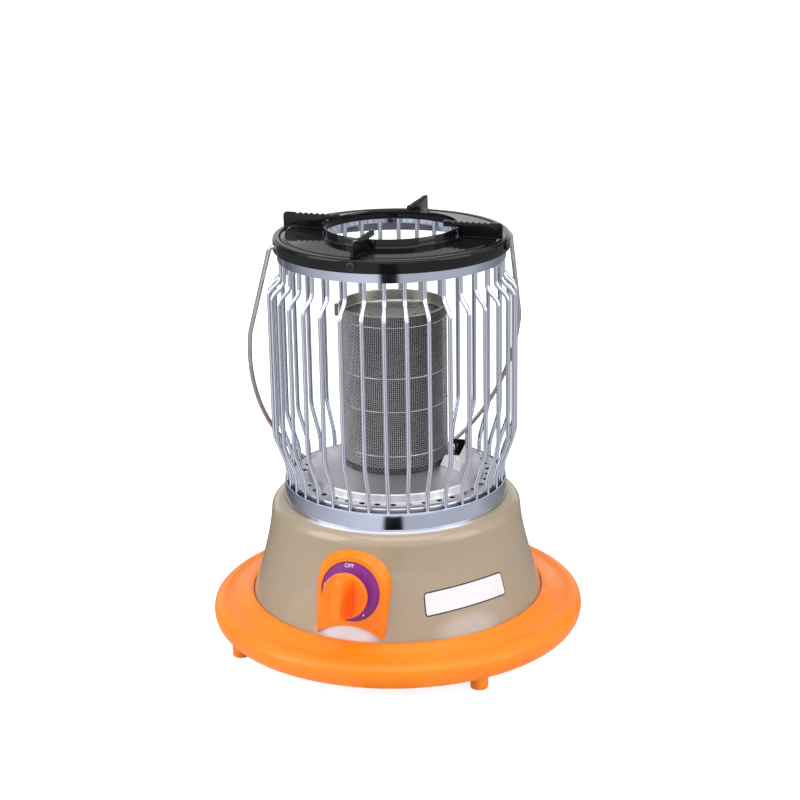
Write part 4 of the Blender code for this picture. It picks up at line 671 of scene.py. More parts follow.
# Sticker on the housing. Plain white film with a dark printed edge, rounded at its corners and
# rolled on the flared wall as a flat sheet lies there.
STICKER_WIDTH = 0.0828
STICKER_HEIGHT = 0.0205
STICKER_CORNER = 0.0030
STICKER_BORDER = 0.0011
STICKER_AZIMUTH = math.radians(-41.0)
STICKER_Z = 0.0716
STICKER_TURN = math.radians(1.5)
STICKER_CELLS = (26, 6)
STICKER_FILM = 0.00015
STICKER_LIFT = 0.0001
WALL_UNROLLED_R = 0.4700
WHITE_FILM = (0.86, 0.85, 0.89)
WHITE_FILM_DEEP = (0.80, 0.79, 0.83)
DARK_PRINT = (0.010, 0.010, 0.014)
DARK_PRINT_DEEP = (0.020, 0.020, 0.026)


def wall_radius(z):
    """Outer radius of the housing's flared wall at a height."""
    drop = (shoulder_z - z) / (shoulder_z - HOUSING_FOOT[1])
    return HOUSING_TOP_R + (HOUSING_FOOT[0] - HOUSING_TOP_R) * max(drop, 0) ** FLARE_POWER


def roll_on(shape, azimuth, middle_z, lift):
    """Wraps a flat piece in X and Y round the flared wall, where a straight strip's ends drop."""
    for vert in shape.data.vertices:
        across, up, out = vert.co
        z = middle_z + up - across ** 2 / (2 * WALL_UNROLLED_R)
        radius = wall_radius(z) + lift + out
        angle = azimuth + across / wall_radius(middle_z)
        vert.co = (radius * math.cos(angle), radius * math.sin(angle), z)


def rounded_plate(name, length, width, corner):
    """Flat plate in X and Y with rounded corners, left with all of it selected in edit mode."""
    bpy.ops.object.select_all(action="DESELECT")
    bpy.ops.mesh.primitive_plane_add(size=1)
    plate = bpy.context.object
    plate.name = name
    plate.scale = (length, width, 1)
    settle()
    edit_all()
    bpy.ops.mesh.bevel(offset=corner, segments=6, affect="VERTICES")
    bpy.ops.mesh.select_all(action="SELECT")
    return plate


sticker = rounded_plate("rating_sticker", STICKER_WIDTH, STICKER_HEIGHT, STICKER_CORNER)
bpy.ops.mesh.inset(thickness=STICKER_BORDER, depth=0)
bpy.ops.object.mode_set(mode="OBJECT")
for face in sticker.data.polygons:
    face.material_index = 0 if len(face.vertices) > 4 else 1
bpy.ops.object.mode_set(mode="EDIT")
for length, cells, across in (
    (STICKER_WIDTH, STICKER_CELLS[0], Vector((1, 0, 0))),
    (STICKER_HEIGHT, STICKER_CELLS[1], Vector((0, 1, 0))),
):
    for cut in range(1, cells):
        bpy.ops.mesh.select_all(action="SELECT")
        bpy.ops.mesh.bisect(plane_co=across * length * (cut / cells - 0.5), plane_no=across)
bpy.ops.mesh.select_all(action="SELECT")
bpy.ops.mesh.extrude_region_move(TRANSFORM_OT_translate={"value": (0, 0, STICKER_FILM)})
leave_edit()
sticker.rotation_euler.z = STICKER_TURN
settle()
roll_on(sticker, STICKER_AZIMUTH, STICKER_Z, STICKER_LIFT)
white_film = surface(
    "white_film", moulded_skin, {"Peel Scale": 500, "Patch Scale": 60},
    WHITE_FILM, WHITE_FILM_DEEP, (0.25, 0.38), bump=0.04,
)
dark_print = surface(
    "dark_print", moulded_skin, {"Peel Scale": 500, "Patch Scale": 60},
    DARK_PRINT, DARK_PRINT_DEEP, (0.30, 0.42), bump=0.04,
)
sticker.data.materials.append(white_film)
sticker.data.materials.append(dark_print)
fit(sticker, "stove", "champagne_paint", smooth=30)

# Burner dish. Pressed from bright plated sheet: a flat seat for the burner, a shallow cone, a
# groove with a ring of air holes, and a beaded edge whose skirt stands on the housing's ledge.
DISH_SHEET = 0.0008
DISH_HOLES = 38
DISH_HOLE_R = 0.0026
DISH_HOLE_CIRCLE_R = 0.0839
DISH_HOLE_AZIMUTH = math.radians(3)
DISH_PUNCH_LENGTH = 0.006
DISH_GROOVE_Z = 0.1475
DISH_FACE = (
    (0.0240, 0.1630, 0),
    (0.0497, 0.1630, 0.0030),
    (0.0790, 0.1548, 0.0014),
    (0.0804, DISH_GROOVE_Z, 0.0010),
    (0.0865, DISH_GROOVE_Z, 0.0008),
    (0.0886, 0.1484, 0.0010),
    (0.0929, 0.1484, 0.0010),
    (0.0950, DISH_GROOVE_Z, 0.0010),
    (0.0950, 0.1184, 0),
)
PLATED = (0.62, 0.61, 0.64)
PLATED_DEEP = (0.58, 0.57, 0.60)


def copied_round(shape, count):
    """Repeats a mesh evenly round the stove's axis with the spin tool."""
    take(shape)
    edit_all()
    bpy.ops.mesh.spin(
        steps=count - 1, dupli=True, angle=math.tau * (count - 1) / count,
        center=(0, 0, 0), axis=(0, 0, 1),
    )
    leave_edit()


def combine(shape, tool, operation="DIFFERENCE"):
    """Cuts or joins a piece with a tool mesh and removes the tool."""
    take(shape)
    step = shape.modifiers.new("step", "BOOLEAN")
    step.operation = operation
    step.solver = "EXACT"
    step.object = tool
    bpy.ops.object.modifier_apply(modifier="step")
    bpy.data.objects.remove(tool)


dish = spun("burner_dish_pressing", eased(DISH_FACE), segments=152, wall=DISH_SHEET)
bpy.ops.object.select_all(action="DESELECT")
bpy.ops.mesh.primitive_cylinder_add(vertices=16, radius=DISH_HOLE_R, depth=DISH_PUNCH_LENGTH)
punch = bpy.context.object
first_hole = Matrix.Rotation(DISH_HOLE_AZIMUTH, 4, "Z")
settle(first_hole @ Matrix.Translation((DISH_HOLE_CIRCLE_R, 0, DISH_GROOVE_Z)))
copied_round(punch, DISH_HOLES)
combine(dish, punch)
plated_sheet = surface(
    "plated_sheet", rolled_sheet, {"Grain Scale": 260, "Patch Scale": 24, "Stretch": (1, 0.3, 1)},
    PLATED, PLATED_DEEP, (0.32, 0.35), metallic=1.0, bump=0.01,
)
dish.data.materials.append(plated_sheet)
# Painted shade on the dish's inner and under faces
line_inside(dish, painted_inside_shade, DISH_FACE[0][1])
fit(dish, "stove", "plated_sheet", "burner_dish")

# Burner. A sleeve of woven heat resisting wire stands on the dish round a shallow cup and a
# catalyst sleeve. The gauze is really woven: uprights pass over and under the rings in turn.
GAUZE_R = 0.0475
GAUZE_LOW_Z = 0.1634
GAUZE_TOP_Z = 0.3062
GAUZE_WIRE_R = 0.00030
GAUZE_UPRIGHTS = 168
GAUZE_RINGS = 80
GAUZE_SWING = 0.00028
GAUZE_SEAMS = (0.1788, 0.2199, 0.2504, 0.2966)
SEAM_WIRE_R = 0.00055
SEAM_PROUD = 0.0002
CUP_SHEET = 0.0010
CUP_EDGE_R = 0.0003
CUP_FACE = (
    (0.0175, 0.1633, 0),
    (0.0468, 0.1633, 0.0008),
    (0.0468, 0.1678, 0),
)
HEAT_STEEL = (0.63, 0.62, 0.65)
HEAT_STEEL_DEEP = (0.41, 0.40, 0.41)
CATALYST_R = 0.0440
CATALYST_WALL = 0.0018
CATALYST_LOW_Z = 0.1646
CATALYST_TOP_Z = 0.2957
CATALYST_TINT = (0.055, 0.052, 0.054)
CATALYST_TINT_DEEP = (0.028, 0.025, 0.022)


def hoop(name, radius, wall, low, high, segments):
    """Ring of a plain rectangular section, from its outer radius and its two heights."""
    inner = radius - wall
    profile = ((radius, low), (radius, high), (inner, high), (inner, low))
    return spun(name, profile, segments=segments, closed=True)


def joined(name, pieces):
    """Joins meshes into one piece."""
    take(pieces[0])
    for piece in pieces:
        piece.select_set(True)
    bpy.ops.object.join()
    pieces[0].name = name
    return pieces[0]


cup = spun("burner_cup_pressing", eased(CUP_FACE), segments=96, wall=-CUP_SHEET)
add_bevel(cup, CUP_EDGE_R)
cup.data.materials.append(black_steel)
fit(cup, "stove", "plated_sheet", "burner_cup")

gauze_wire = surface(
    "gauze_wire", rolled_sheet, {"Grain Scale": 700, "Patch Scale": 55, "Stretch": (1, 1, 1)},
    HEAT_STEEL, HEAT_STEEL_DEEP, (0.34, 0.50), metallic=0.9, bump=0.05,
)
pitch = (GAUZE_TOP_Z - GAUZE_LOW_Z) / GAUZE_RINGS
uprights = []
for phase in (0, 1):
    swing = (1 - 2 * phase) * GAUZE_SWING
    bpy.ops.object.select_all(action="DESELECT")
    bpy.ops.mesh.primitive_circle_add(
        vertices=3, radius=GAUZE_WIRE_R, location=(GAUZE_R + swing, 0, GAUZE_LOW_Z)
    )
    upright = bpy.context.object
    settle()
    edit_all()
    for ring in range(GAUZE_RINGS):
        swing = -swing
        bpy.ops.mesh.extrude_edges_move(TRANSFORM_OT_translate={"value": (2 * swing, 0, pitch)})
    bpy.ops.object.mode_set(mode="OBJECT")
    settle(Matrix.Rotation(math.tau * phase / GAUZE_UPRIGHTS, 4, "Z"))
    copied_round(upright, GAUZE_UPRIGHTS // 2)
    uprights.append(upright)
warp = joined("gauze_uprights", uprights)
warp.data.materials.append(gauze_wire)
fit(warp, "stove", "gauze", "gauze_sleeve", smooth=80)

rings = []
for phase in (0, 1):
    bpy.ops.object.select_all(action="DESELECT")
    bpy.ops.mesh.primitive_torus_add(
        major_segments=GAUZE_UPRIGHTS, minor_segments=3, major_radius=GAUZE_R,
        minor_radius=GAUZE_WIRE_R, location=(0, 0, GAUZE_LOW_Z + pitch * (phase + 0.5)),
    )
    ring = bpy.context.object
    settle()
    for vert in ring.data.vertices:
        section = vert.index // 3
        sign = 1 if (section + phase) % 2 else -1
        reach = 1 + sign * GAUZE_SWING / GAUZE_R
        vert.co.x *= reach
        vert.co.y *= reach
    stack = ring.modifiers.new("stack", "ARRAY")
    stack.use_relative_offset = False
    stack.use_constant_offset = True
    stack.constant_offset_displace = (0, 0, 2 * pitch)
    stack.count = GAUZE_RINGS // 2
    bpy.ops.object.modifier_apply(modifier="stack")
    rings.append(ring)
weft = joined("gauze_rings", rings)
weft.data.materials.append(gauze_wire)
fit(weft, "stove", "gauze", "gauze_sleeve", smooth=80)

seams = []
for seam_z in GAUZE_SEAMS:
    bpy.ops.object.select_all(action="DESELECT")
    bpy.ops.mesh.primitive_torus_add(
        major_segments=96, minor_segments=6, major_radius=GAUZE_R + SEAM_PROUD,
        minor_radius=SEAM_WIRE_R, location=(0, 0, seam_z),
    )
    settle()
    seams.append(bpy.context.object)
seam = joined("gauze_seams", seams)
seam.data.materials.append(gauze_wire)
fit(seam, "stove", "gauze", "gauze_sleeve", smooth=80)

catalyst_mat = surface(
    "catalyst_mat", moulded_skin, {"Peel Scale": 1200, "Patch Scale": 140},
    CATALYST_TINT, CATALYST_TINT_DEEP, (0.85, 0.98), bump=0.5, depth=0.0004,
)
catalyst = hoop("catalyst_lining", CATALYST_R, CATALYST_WALL, CATALYST_LOW_Z, CATALYST_TOP_Z, 72)
catalyst.data.materials.append(catalyst_mat)
fit(catalyst, "stove", "catalyst", "catalyst_sleeve")

# Burner cap. A spun steel lid let into the top of the gauze, with a rolled lip, an ear at its
# side, and a small disc over the middle. The heat has browned it a little.
CAP_TOP_Z = 0.3071
CAP_FACE = (
    (0.0486, 0.3060, 0),
    (0.0486, CAP_TOP_Z, 0.0004),
    (0.0465, CAP_TOP_Z, 0.0006),
    (0.0462, 0.2966, 0.0016),
    (0.0240, 0.2966, 0.0010),
    (0.0225, 0.2960, 0.0008),
    (0.0020, 0.2960, 0),
)
CAP_SHEET = 0.0006
WARM_STEEL = (0.46, 0.445, 0.415)
WARM_STEEL_DEEP = (0.35, 0.33, 0.295)
BLUED_STEEL = (0.33, 0.33, 0.37)
BLUED_STEEL_DEEP = (0.24, 0.24, 0.28)

# Spun metal: fine rings left by the lathe, told by the distance from the axis and the height
spun_metal, spun_in, spun_out = effect_group(
    "spun_metal",
    (("Vector", "Vector"), ("Ring Scale", "Float"), ("Patch Scale", "Float")),
    (("Height", "Float"), ("Mask", "Float")),
)
parts = add_node(spun_metal, "SeparateXYZ")
flat = add_node(spun_metal, "CombineXYZ")
reach = add_node(spun_metal, "VectorMath", operation="LENGTH")
rings_at = add_node(spun_metal, "CombineXYZ")
lathe = add_node(spun_metal, "TexNoise", Detail=4.0, Roughness=0.7)
cloudy = add_node(spun_metal, "TexNoise", Detail=4.0)
fine = add_node(spun_metal, "Math", operation="MULTIPLY")
fine.inputs[1].default_value = 0.6
total = add_node(spun_metal, "Math", operation="MULTIPLY_ADD")
total.inputs[1].default_value = 0.4
wide = add_node(spun_metal, "MapRange", **{"From Min": 0.32, "From Max": 0.68})
wire(
    spun_metal,
    (spun_in.outputs["Vector"], parts.inputs[0]),
    (parts.outputs["X"], flat.inputs["X"]),
    (parts.outputs["Y"], flat.inputs["Y"]),
    (flat.outputs[0], reach.inputs[0]),
    (reach.outputs["Value"], rings_at.inputs["X"]),
    (parts.outputs["Z"], rings_at.inputs["Z"]),
    (rings_at.outputs[0], lathe.inputs["Vector"]),
    (spun_in.outputs["Ring Scale"], lathe.inputs["Scale"]),
    (spun_in.outputs["Vector"], cloudy.inputs["Vector"]),
    (spun_in.outputs["Patch Scale"], cloudy.inputs["Scale"]),
    (lathe.outputs["Fac"], fine.inputs[0]),
    (cloudy.outputs["Fac"], total.inputs[0]),
    (fine.outputs[0], total.inputs[2]),
    (total.outputs[0], wide.inputs["Value"]),
    (lathe.outputs["Fac"], spun_out.inputs["Height"]),
    (wide.outputs[0], spun_out.inputs["Mask"]),
)
warm_steel = surface(
    "warm_steel", spun_metal, {"Ring Scale": 900, "Patch Scale": 45},
    WARM_STEEL, WARM_STEEL_DEEP, (0.22, 0.36), metallic=1.0, bump=0.12, depth=0.0001,
)
blued_steel = surface(
    "blued_steel", spun_metal, {"Ring Scale": 900, "Patch Scale": 60},
    BLUED_STEEL, BLUED_STEEL_DEEP, (0.24, 0.38), metallic=1.0, bump=0.12, depth=0.0001,
)
cap = spun("burner_cap_spinning", eased(CAP_FACE), segments=96, wall=CAP_SHEET)
cap.data.materials.append(warm_steel)
cap.data.materials.append(black_steel)
for face in cap.data.polygons:
    outwards = face.normal.dot(Vector((face.center.x, face.center.y, 0)).normalized())
    if outwards > 0.5 and face.center.z < CAP_FACE[0][1]:
        face.material_index = 1
fit(cap, "stove", "plated_sheet", "burner_cap")

EAR_AZIMUTH = math.radians(199)
EAR_LENGTH = 0.0115
EAR_REACH = 0.0034
EAR_CORNER = 0.0016
EAR_IN_R = 0.0483
ear = rounded_plate("burner_cap_ear", EAR_REACH, EAR_LENGTH, EAR_CORNER)
bpy.ops.mesh.extrude_region_move(TRANSFORM_OT_translate={"value": (0, 0, 2 * CAP_SHEET)})
leave_edit()
settle(
    Matrix.Rotation(EAR_AZIMUTH, 4, "Z")
    @ Matrix.Translation((EAR_IN_R + EAR_REACH / 2, 0, CAP_TOP_Z - EAR_LENGTH / 2))
    @ Matrix.Rotation(math.radians(90), 4, "X")
)
ear.data.materials.append(warm_steel)
fit(ear, "stove", "plated_sheet")

DISC_FACE = (
    (0.0215, 0.2969, 0),
    (0.0215, 0.2980, 0.0003),
    (0.0206, 0.2983, 0.0004),
    (0.0030, 0.2983, 0),
    (0.0004, 0.2980, 0),
)


def close_ends():
    """Closes the holes of the active spun piece."""
    edit_all()
    bpy.ops.mesh.fill_holes(sides=0)
    leave_edit()


disc = spun("cap_disc_pressing", eased(DISC_FACE, steps=3), segments=64)
close_ends()
disc.data.materials.append(blued_steel)
fit(disc, "stove", "plated_sheet", "cap_disc")

# Igniter corner. A folded plated shield on the dish, open towards the burner, with the spark
# electrode in its insulator and the flame sensor behind it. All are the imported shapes.
SHIELD_TURN = math.radians(6)
SHIELD_DARK_Y = (0.0085, 0.0092)
SHIELD_DARK = (0.012, 0.012, 0.014)
BRIGHT = (0.90, 0.90, 0.92)
BRIGHT_DEEP = (0.82, 0.82, 0.84)
STEEL = (0.66, 0.65, 0.66)
STEEL_DEEP = (0.52, 0.51, 0.52)
bright_sheet = surface(
    "bright_sheet", rolled_sheet, {"Grain Scale": 260, "Patch Scale": 40, "Stretch": (1, 0.3, 1)},
    BRIGHT, BRIGHT_DEEP, (0.22, 0.30), metallic=0.35, bump=0.02,
)
# The shield's sheet turns near black past a line across it, read along Y after the shield's turn
blend_towards(bright_sheet, rising_along(bright_sheet, -SHIELD_TURN, "Y", *SHIELD_DARK_Y), SHIELD_DARK)
spring_steel = surface(
    "spring_steel", rolled_sheet, {"Grain Scale": 500, "Patch Scale": 60, "Stretch": (1, 1, 0.1)},
    STEEL, STEEL_DEEP, (0.20, 0.34), metallic=1.0, bump=0.08,
)
repaint(bright_sheet, "flame_shield")
repaint(black_steel, "electrode_insulator", "flame_sensor")
repaint(spring_steel, "ignition_electrode")

# Guard cage. Two rolled steel bands with thirty-six bent wires welded inside them, polished
# and chromed as one piece. The wires step out to a belly between the bands.
BAND_R = 0.1007
BAND_SHEET = 0.0010
BAND_EDGE_R = 0.0003
LOWER_BAND = (0.1183, 0.1456)
UPPER_BAND = (0.3500, 0.3690)
GUARD_WIRES = 36
GUARD_WIRE_R = 0.0020
GUARD_WIRE_AZIMUTH = math.radians(5)
GUARD_LINE = (
    (0.0972, 0.1260, 0),
    (0.0978, 0.1595, 0.0060),
    (0.1089, 0.1900, 0.0060),
    (0.1089, 0.3218, 0.0045),
    (0.0978, 0.3318, 0.0045),
    (0.0975, 0.3660, 0),
)
CHROME = (0.62, 0.665, 0.80)
CHROME_DEEP = (0.56, 0.61, 0.75)
WIRE_CHROME = (0.75, 0.78, 0.90)
WIRE_CHROME_DEEP = (0.68, 0.71, 0.83)


def drawn_line(name, points):
    """Curve object with one line of straight stretches through the points."""
    bpy.ops.object.select_all(action="DESELECT")
    bpy.ops.curve.primitive_bezier_curve_add(location=(0, 0, 0))
    shape = bpy.context.object
    shape.name = name
    shape.data.splines.clear()
    line = shape.data.splines.new("POLY")
    line.points.add(len(points) - 1)
    for knot, point in zip(line.points, points):
        knot.co = (*point, 1)
    return shape


def bent_wire(name, points, radius, sides):
    """Round wire along a line of points, made a mesh, with closed ends."""
    shape = drawn_line(name, points)
    shape.data.dimensions = "3D"
    shape.data.bevel_depth = radius
    shape.data.bevel_resolution = sides // 2 - 2
    shape.data.use_fill_caps = True
    bpy.ops.object.convert(target="MESH")
    edit_all()
    bpy.ops.mesh.remove_doubles(threshold=MERGE_GAP / 10)
    leave_edit()
    return shape


chrome = surface(
    "chrome", moulded_skin, {"Peel Scale": 60, "Patch Scale": 26},
    CHROME, CHROME_DEEP, (0.06, 0.13), metallic=1.0, bump=0.03,
)
wire_chrome = surface(
    "wire_chrome", moulded_skin, {"Peel Scale": 60, "Patch Scale": 26},
    WIRE_CHROME, WIRE_CHROME_DEEP, (0.08, 0.16), metallic=1.0, bump=0.03,
)
guard_path = [(point.x, 0, point.y) for point in eased(GUARD_LINE, steps=5)]
guard = bent_wire("guard_wires", guard_path, GUARD_WIRE_R, sides=10)
settle(Matrix.Rotation(GUARD_WIRE_AZIMUTH, 4, "Z"))
copied_round(guard, GUARD_WIRES)
guard.data.materials.append(wire_chrome)
fit(guard, "stove", "chromed_wire", "guard_cage", smooth=60)
for name, heights in (("lower_band", LOWER_BAND), ("upper_band", UPPER_BAND)):
    band = hoop(name, BAND_R, BAND_SHEET, *heights, 180)
    add_bevel(band, BAND_EDGE_R)
    band.data.materials.append(chrome)
    fit(band, "stove", "chromed_wire", "guard_cage")

# Top plate. Pressed steel in glossy black enamel: a shallow groove near its edge, a rim turned
# down over the upper band, and a collar drawn up round the hole over the burner.
PLATE_SHEET = 0.0009
PLATE_EDGE_R = 0.0003
PLATE_FACE = (
    (0.1042, 0.3587, 0),
    (0.1042, 0.3702, 0.0026),
    (0.0987, 0.3702, 0.0007),
    (0.0972, 0.3694, 0.0006),
    (0.0956, 0.3694, 0.0006),
    (0.0941, 0.3702, 0.0007),
    (0.0595, 0.3702, 0.0020),
    (0.0595, 0.3778, 0),
)
ENAMEL = (0.0045, 0.0045, 0.0060)
ENAMEL_DEEP = (0.0080, 0.0080, 0.0105)
black_enamel = surface(
    "black_enamel", moulded_skin, {"Peel Scale": 60, "Patch Scale": 12},
    ENAMEL, ENAMEL_DEEP, (0.05, 0.09), bump=0.02, Specular_IOR_Level=0.28,
)
plate = spun("top_plate_pressing", eased(PLATE_FACE), segments=180, wall=PLATE_SHEET)
add_bevel(plate, PLATE_EDGE_R)
plate.data.materials.append(black_enamel)
fit(plate, "stove", "black_enamel", "top_plate")

# Pot supports. Four thick enamelled blades that reach in over the hole, notched along the top
# so that a pan doesn't slide, each on a welded foot and a tab held to the collar by two screws.
SUPPORT_IN_R = 0.0480
SUPPORT_OUT_R = 0.1010
SUPPORT_THICKNESS = 0.0033
SUPPORT_LOW_Z = 0.3705
SUPPORT_TOP_Z = 0.3840
SUPPORT_ARM_Z = 0.3787
SUPPORT_BACK_R = 0.0616
SUPPORT_END_R = 0.0030
NOTCHES = 7
NOTCH_PITCH = 0.0053
NOTCH_LENGTH = 0.0038
NOTCH_DEPTH = 0.0010
NOTCH_FLAT = 0.0105
NOTCH_STEPS = 6
END_STEPS = 5
BLADE_EDGE_R = 0.0006
BLADE_FOOT_IN_R = 0.0630
BLADE_FOOT_LENGTH = 0.0360
BLADE_FOOT_WIDTH = 0.0072
BLADE_FOOT_SHEET = 0.0011
WELDED_EDGE_R = 0.0004
TAB_IN_R = 0.0598
TAB_WIDTH = 0.0110
TAB_SHEET = 0.0013
TAB_LOW_Z = 0.3728
TAB_TOP_Z = 0.3778


def cut_out(name, outline, thickness, bevel, place):
    """Flat piece of an outline in X and Y, thickened both ways, made a mesh and put in place."""
    shape = drawn_line(name, [(across, up, 0) for across, up in outline])
    shape.data.splines[0].use_cyclic_u = True
    shape.data.dimensions = "2D"
    shape.data.fill_mode = "BOTH"
    shape.data.extrude = thickness / 2
    bpy.ops.object.convert(target="MESH")
    edit_all()
    bpy.ops.mesh.remove_doubles(threshold=MERGE_GAP / 10)
    bpy.ops.mesh.dissolve_limited(angle_limit=math.radians(1))
    leave_edit()
    add_bevel(shape, bevel)
    settle(place)
    return shape


blade = [(SUPPORT_BACK_R, SUPPORT_LOW_Z), (SUPPORT_OUT_R, SUPPORT_LOW_Z)]
for step in range(END_STEPS + 1):
    angle = math.radians(90 * step / END_STEPS)
    blade.append((SUPPORT_OUT_R - SUPPORT_END_R * (1 - math.cos(angle)),
                  SUPPORT_TOP_Z - SUPPORT_END_R * (1 - math.sin(angle))))
for notch in range(NOTCHES):
    middle = SUPPORT_OUT_R - NOTCH_FLAT - NOTCH_PITCH * (notch + 0.5)
    for step in range(NOTCH_STEPS + 1):
        angle = math.pi * step / NOTCH_STEPS
        blade.append((middle + NOTCH_LENGTH / 2 * math.cos(angle),
                      SUPPORT_TOP_Z - NOTCH_DEPTH * math.sin(angle)))
blade += [(SUPPORT_IN_R, SUPPORT_TOP_Z), (SUPPORT_IN_R, SUPPORT_ARM_Z), (SUPPORT_BACK_R, SUPPORT_ARM_Z)]
upright_turn = Matrix.Rotation(math.radians(90), 4, "X")
for number in range(4):
    spin = Matrix.Rotation(math.radians(90 * number), 4, "Z")
    support = cut_out("pot_support_blade_%d" % (number + 1), blade, SUPPORT_THICKNESS,
                      BLADE_EDGE_R, spin @ upright_turn)
    support.data.materials.append(black_enamel)
    fit(support, "stove", "black_enamel", "pot_support_%d" % (number + 1))
    for name, length, width, height, place in (
        ("pot_support_foot_%d", BLADE_FOOT_LENGTH, BLADE_FOOT_WIDTH, BLADE_FOOT_SHEET,
         (BLADE_FOOT_IN_R + BLADE_FOOT_LENGTH / 2, 0, SUPPORT_LOW_Z + BLADE_FOOT_SHEET / 2)),
        ("pot_support_tab_%d", TAB_SHEET, TAB_WIDTH, TAB_TOP_Z - TAB_LOW_Z,
         (TAB_IN_R + TAB_SHEET / 2, 0, (TAB_TOP_Z + TAB_LOW_Z) / 2)),
    ):
        bpy.ops.object.select_all(action="DESELECT")
        bpy.ops.mesh.primitive_cube_add(size=1)
        welded = bpy.context.object
        welded.name = name % (number + 1)
        welded.scale = (length, width, height)
        settle()
        add_bevel(welded, WELDED_EDGE_R)
        settle(spin @ Matrix.Translation(place))
        welded.data.materials.append(black_enamel)
        fit(welded, "stove", "black_enamel")

# Screws. Black pan heads with a cross recess: one through the plate's rim behind each support,
# and a smaller pair in each support's tab.
RIM_SCREW = (0.00385, 0.0021)
TAB_SCREW = (0.0021, 0.0014)
RIM_SCREW_R = 0.1043
RIM_SCREW_Z = 0.3645
TAB_SCREW_R = 0.0611
TAB_SCREW_Z = 0.3754
TAB_SCREW_SIDE = 0.0040
SCREW_TURN_FIRST = 17
SCREW_TURN_NEXT = 31
SCREW_CROWN_SHARE = 0.75
RECESS_SHARES = (1.1, 0.24, 1.1)


def screw_head(name, radius, height, place):
    """Pan head with a cross recess, its axis along Z, put in place."""
    bpy.ops.object.select_all(action="DESELECT")
    bpy.ops.mesh.primitive_cylinder_add(vertices=28, radius=radius, depth=height,
                                        location=(0, 0, height / 2))
    head = bpy.context.object
    head.name = name
    settle()
    add_bevel(head, height * SCREW_CROWN_SHARE, segments=4, degrees=30)
    for arm in range(2):
        bpy.ops.mesh.primitive_cube_add(size=1, location=(0, 0, height))
        recess = bpy.context.object
        long, wide, deep = RECESS_SHARES
        recess.scale = (radius * long, radius * wide, height * deep)
        recess.rotation_euler.z = math.radians(90 * arm)
        settle()
        combine(head, recess)
    settle(place)
    head.data.materials.append(black_steel)
    return head


outward = Matrix.Rotation(math.radians(90), 4, "Y")
for number in range(4):
    spin = Matrix.Rotation(math.radians(90 * number), 4, "Z")
    twist = Matrix.Rotation(math.radians(SCREW_TURN_FIRST + SCREW_TURN_NEXT * number), 4, "Z")
    head = screw_head("rim_screw_head_%d" % (number + 1), *RIM_SCREW,
                      spin @ Matrix.Translation((RIM_SCREW_R, 0, RIM_SCREW_Z)) @ outward @ twist)
    fit(head, "stove", "black_screw", "rim_screw_%d" % (number + 1))
    for side in (-1, 1):
        spot = Matrix.Translation((TAB_SCREW_R, side * TAB_SCREW_SIDE, TAB_SCREW_Z))
        head = screw_head("tab_screw_%d_%s" % (number + 1, "left" if side < 0 else "right"),
                          *TAB_SCREW, spin @ spot @ outward @ twist)
        fit(head, "stove", "black_screw")

# Bail. One bent length of spring steel wire, its hooked ends sprung into two holes in the
# plate's rim. It hangs back until its arc rests on the housing.
BAIL_AZIMUTH = math.radians(30)
BAIL_AXIS_Z = 0.3638
BAIL_LEAN = math.radians(24.40)
BAIL_WIRE_R = 0.0020
BAIL_HOOK_R = 0.0935
BAIL_ELBOW_R = 0.1076
BAIL_ELBOW_BEND = 0.0035
BAIL_HALF_WIDTH = 0.1250
BAIL_KNEE_DROP = 0.0960
BAIL_KNEE_BEND = 0.0055
BAIL_ARC_DROP = 0.1080
BAIL_ARC_DEPTH = 0.17828
BAIL_ARC_STEPS = 28
BAIL_SIDE_SHIFT = 0.0018
leg = eased((
    (BAIL_HOOK_R, 0, 0),
    (BAIL_ELBOW_R, 0, BAIL_ELBOW_BEND),
    (BAIL_HALF_WIDTH, BAIL_KNEE_DROP, BAIL_KNEE_BEND),
    (BAIL_HALF_WIDTH, BAIL_ARC_DROP, 0),
))
half = leg[:-1]
for step in range(BAIL_ARC_STEPS + 1):
    angle = math.pi / 2 * step / BAIL_ARC_STEPS
    half.append(Vector((BAIL_HALF_WIDTH * math.cos(angle),
                        BAIL_ARC_DROP + BAIL_ARC_DEPTH * math.sin(angle))))
whole = half + [Vector((-point.x, point.y)) for point in reversed(half[:-1])]
bail_path = [
    (point.x + BAIL_SIDE_SHIFT * min(point.y / BAIL_KNEE_DROP, 1), 0, -point.y) for point in whole
]
bail = bent_wire("bail_wire", bail_path, BAIL_WIRE_R, sides=14)
settle(
    Matrix.Translation((0, 0, BAIL_AXIS_Z))
    @ Matrix.Rotation(BAIL_AZIMUTH, 4, "Z")
    @ Matrix.Rotation(BAIL_LEAN, 4, "X")
)
bail.data.materials.append(spring_steel)
fit(bail, "bail", "bright_wire", "bail_handle", smooth=60)

# Control panel. An orange arched housing moulded to fit the flared wall, with a round recess
# for the purple printed dial. Its face leans back a little.
PANEL_TILT = math.radians(7.5)
PANEL_PLACE = (0, -0.1255, 0.0816)
BEZEL_HALF_WIDTH = 0.0305
BEZEL_DEPTH = 0.0400
BEZEL_WALL = 0.0024
BEZEL_FACE = 0.0042
BEZEL_EDGE_R = 0.0026
BEZEL_SEAM_R = 0.0005
BEZEL_LOW_Z = 0.0420
BEZEL_BACK = 0.0200
BEZEL_DRAFT = 1.20
BEZEL_RISE = 0.0088
BEZEL_BORE_R = 0.0085
BEZEL_ARCH_R = 0.0564
BEZEL_ARCH_TOP = -0.0309
CUT_BACK = -0.06
CUT_FRONT = 0.01
CUT_PAST = 0.005
CUT_BLOCK = 1
AXIS_R = 0.0001
WALL_GAP = 0.0003
DIAL_R = 0.0265
DIAL_RECESS = 0.0022
DIAL_FRONT = -0.0009
DIAL_GAP = 0.0003
DIAL_BORE_R = 0.0072
DIAL_EDGE_R = 0.0002
DIAL_PURPLE = (0.275, 0.042, 0.330)
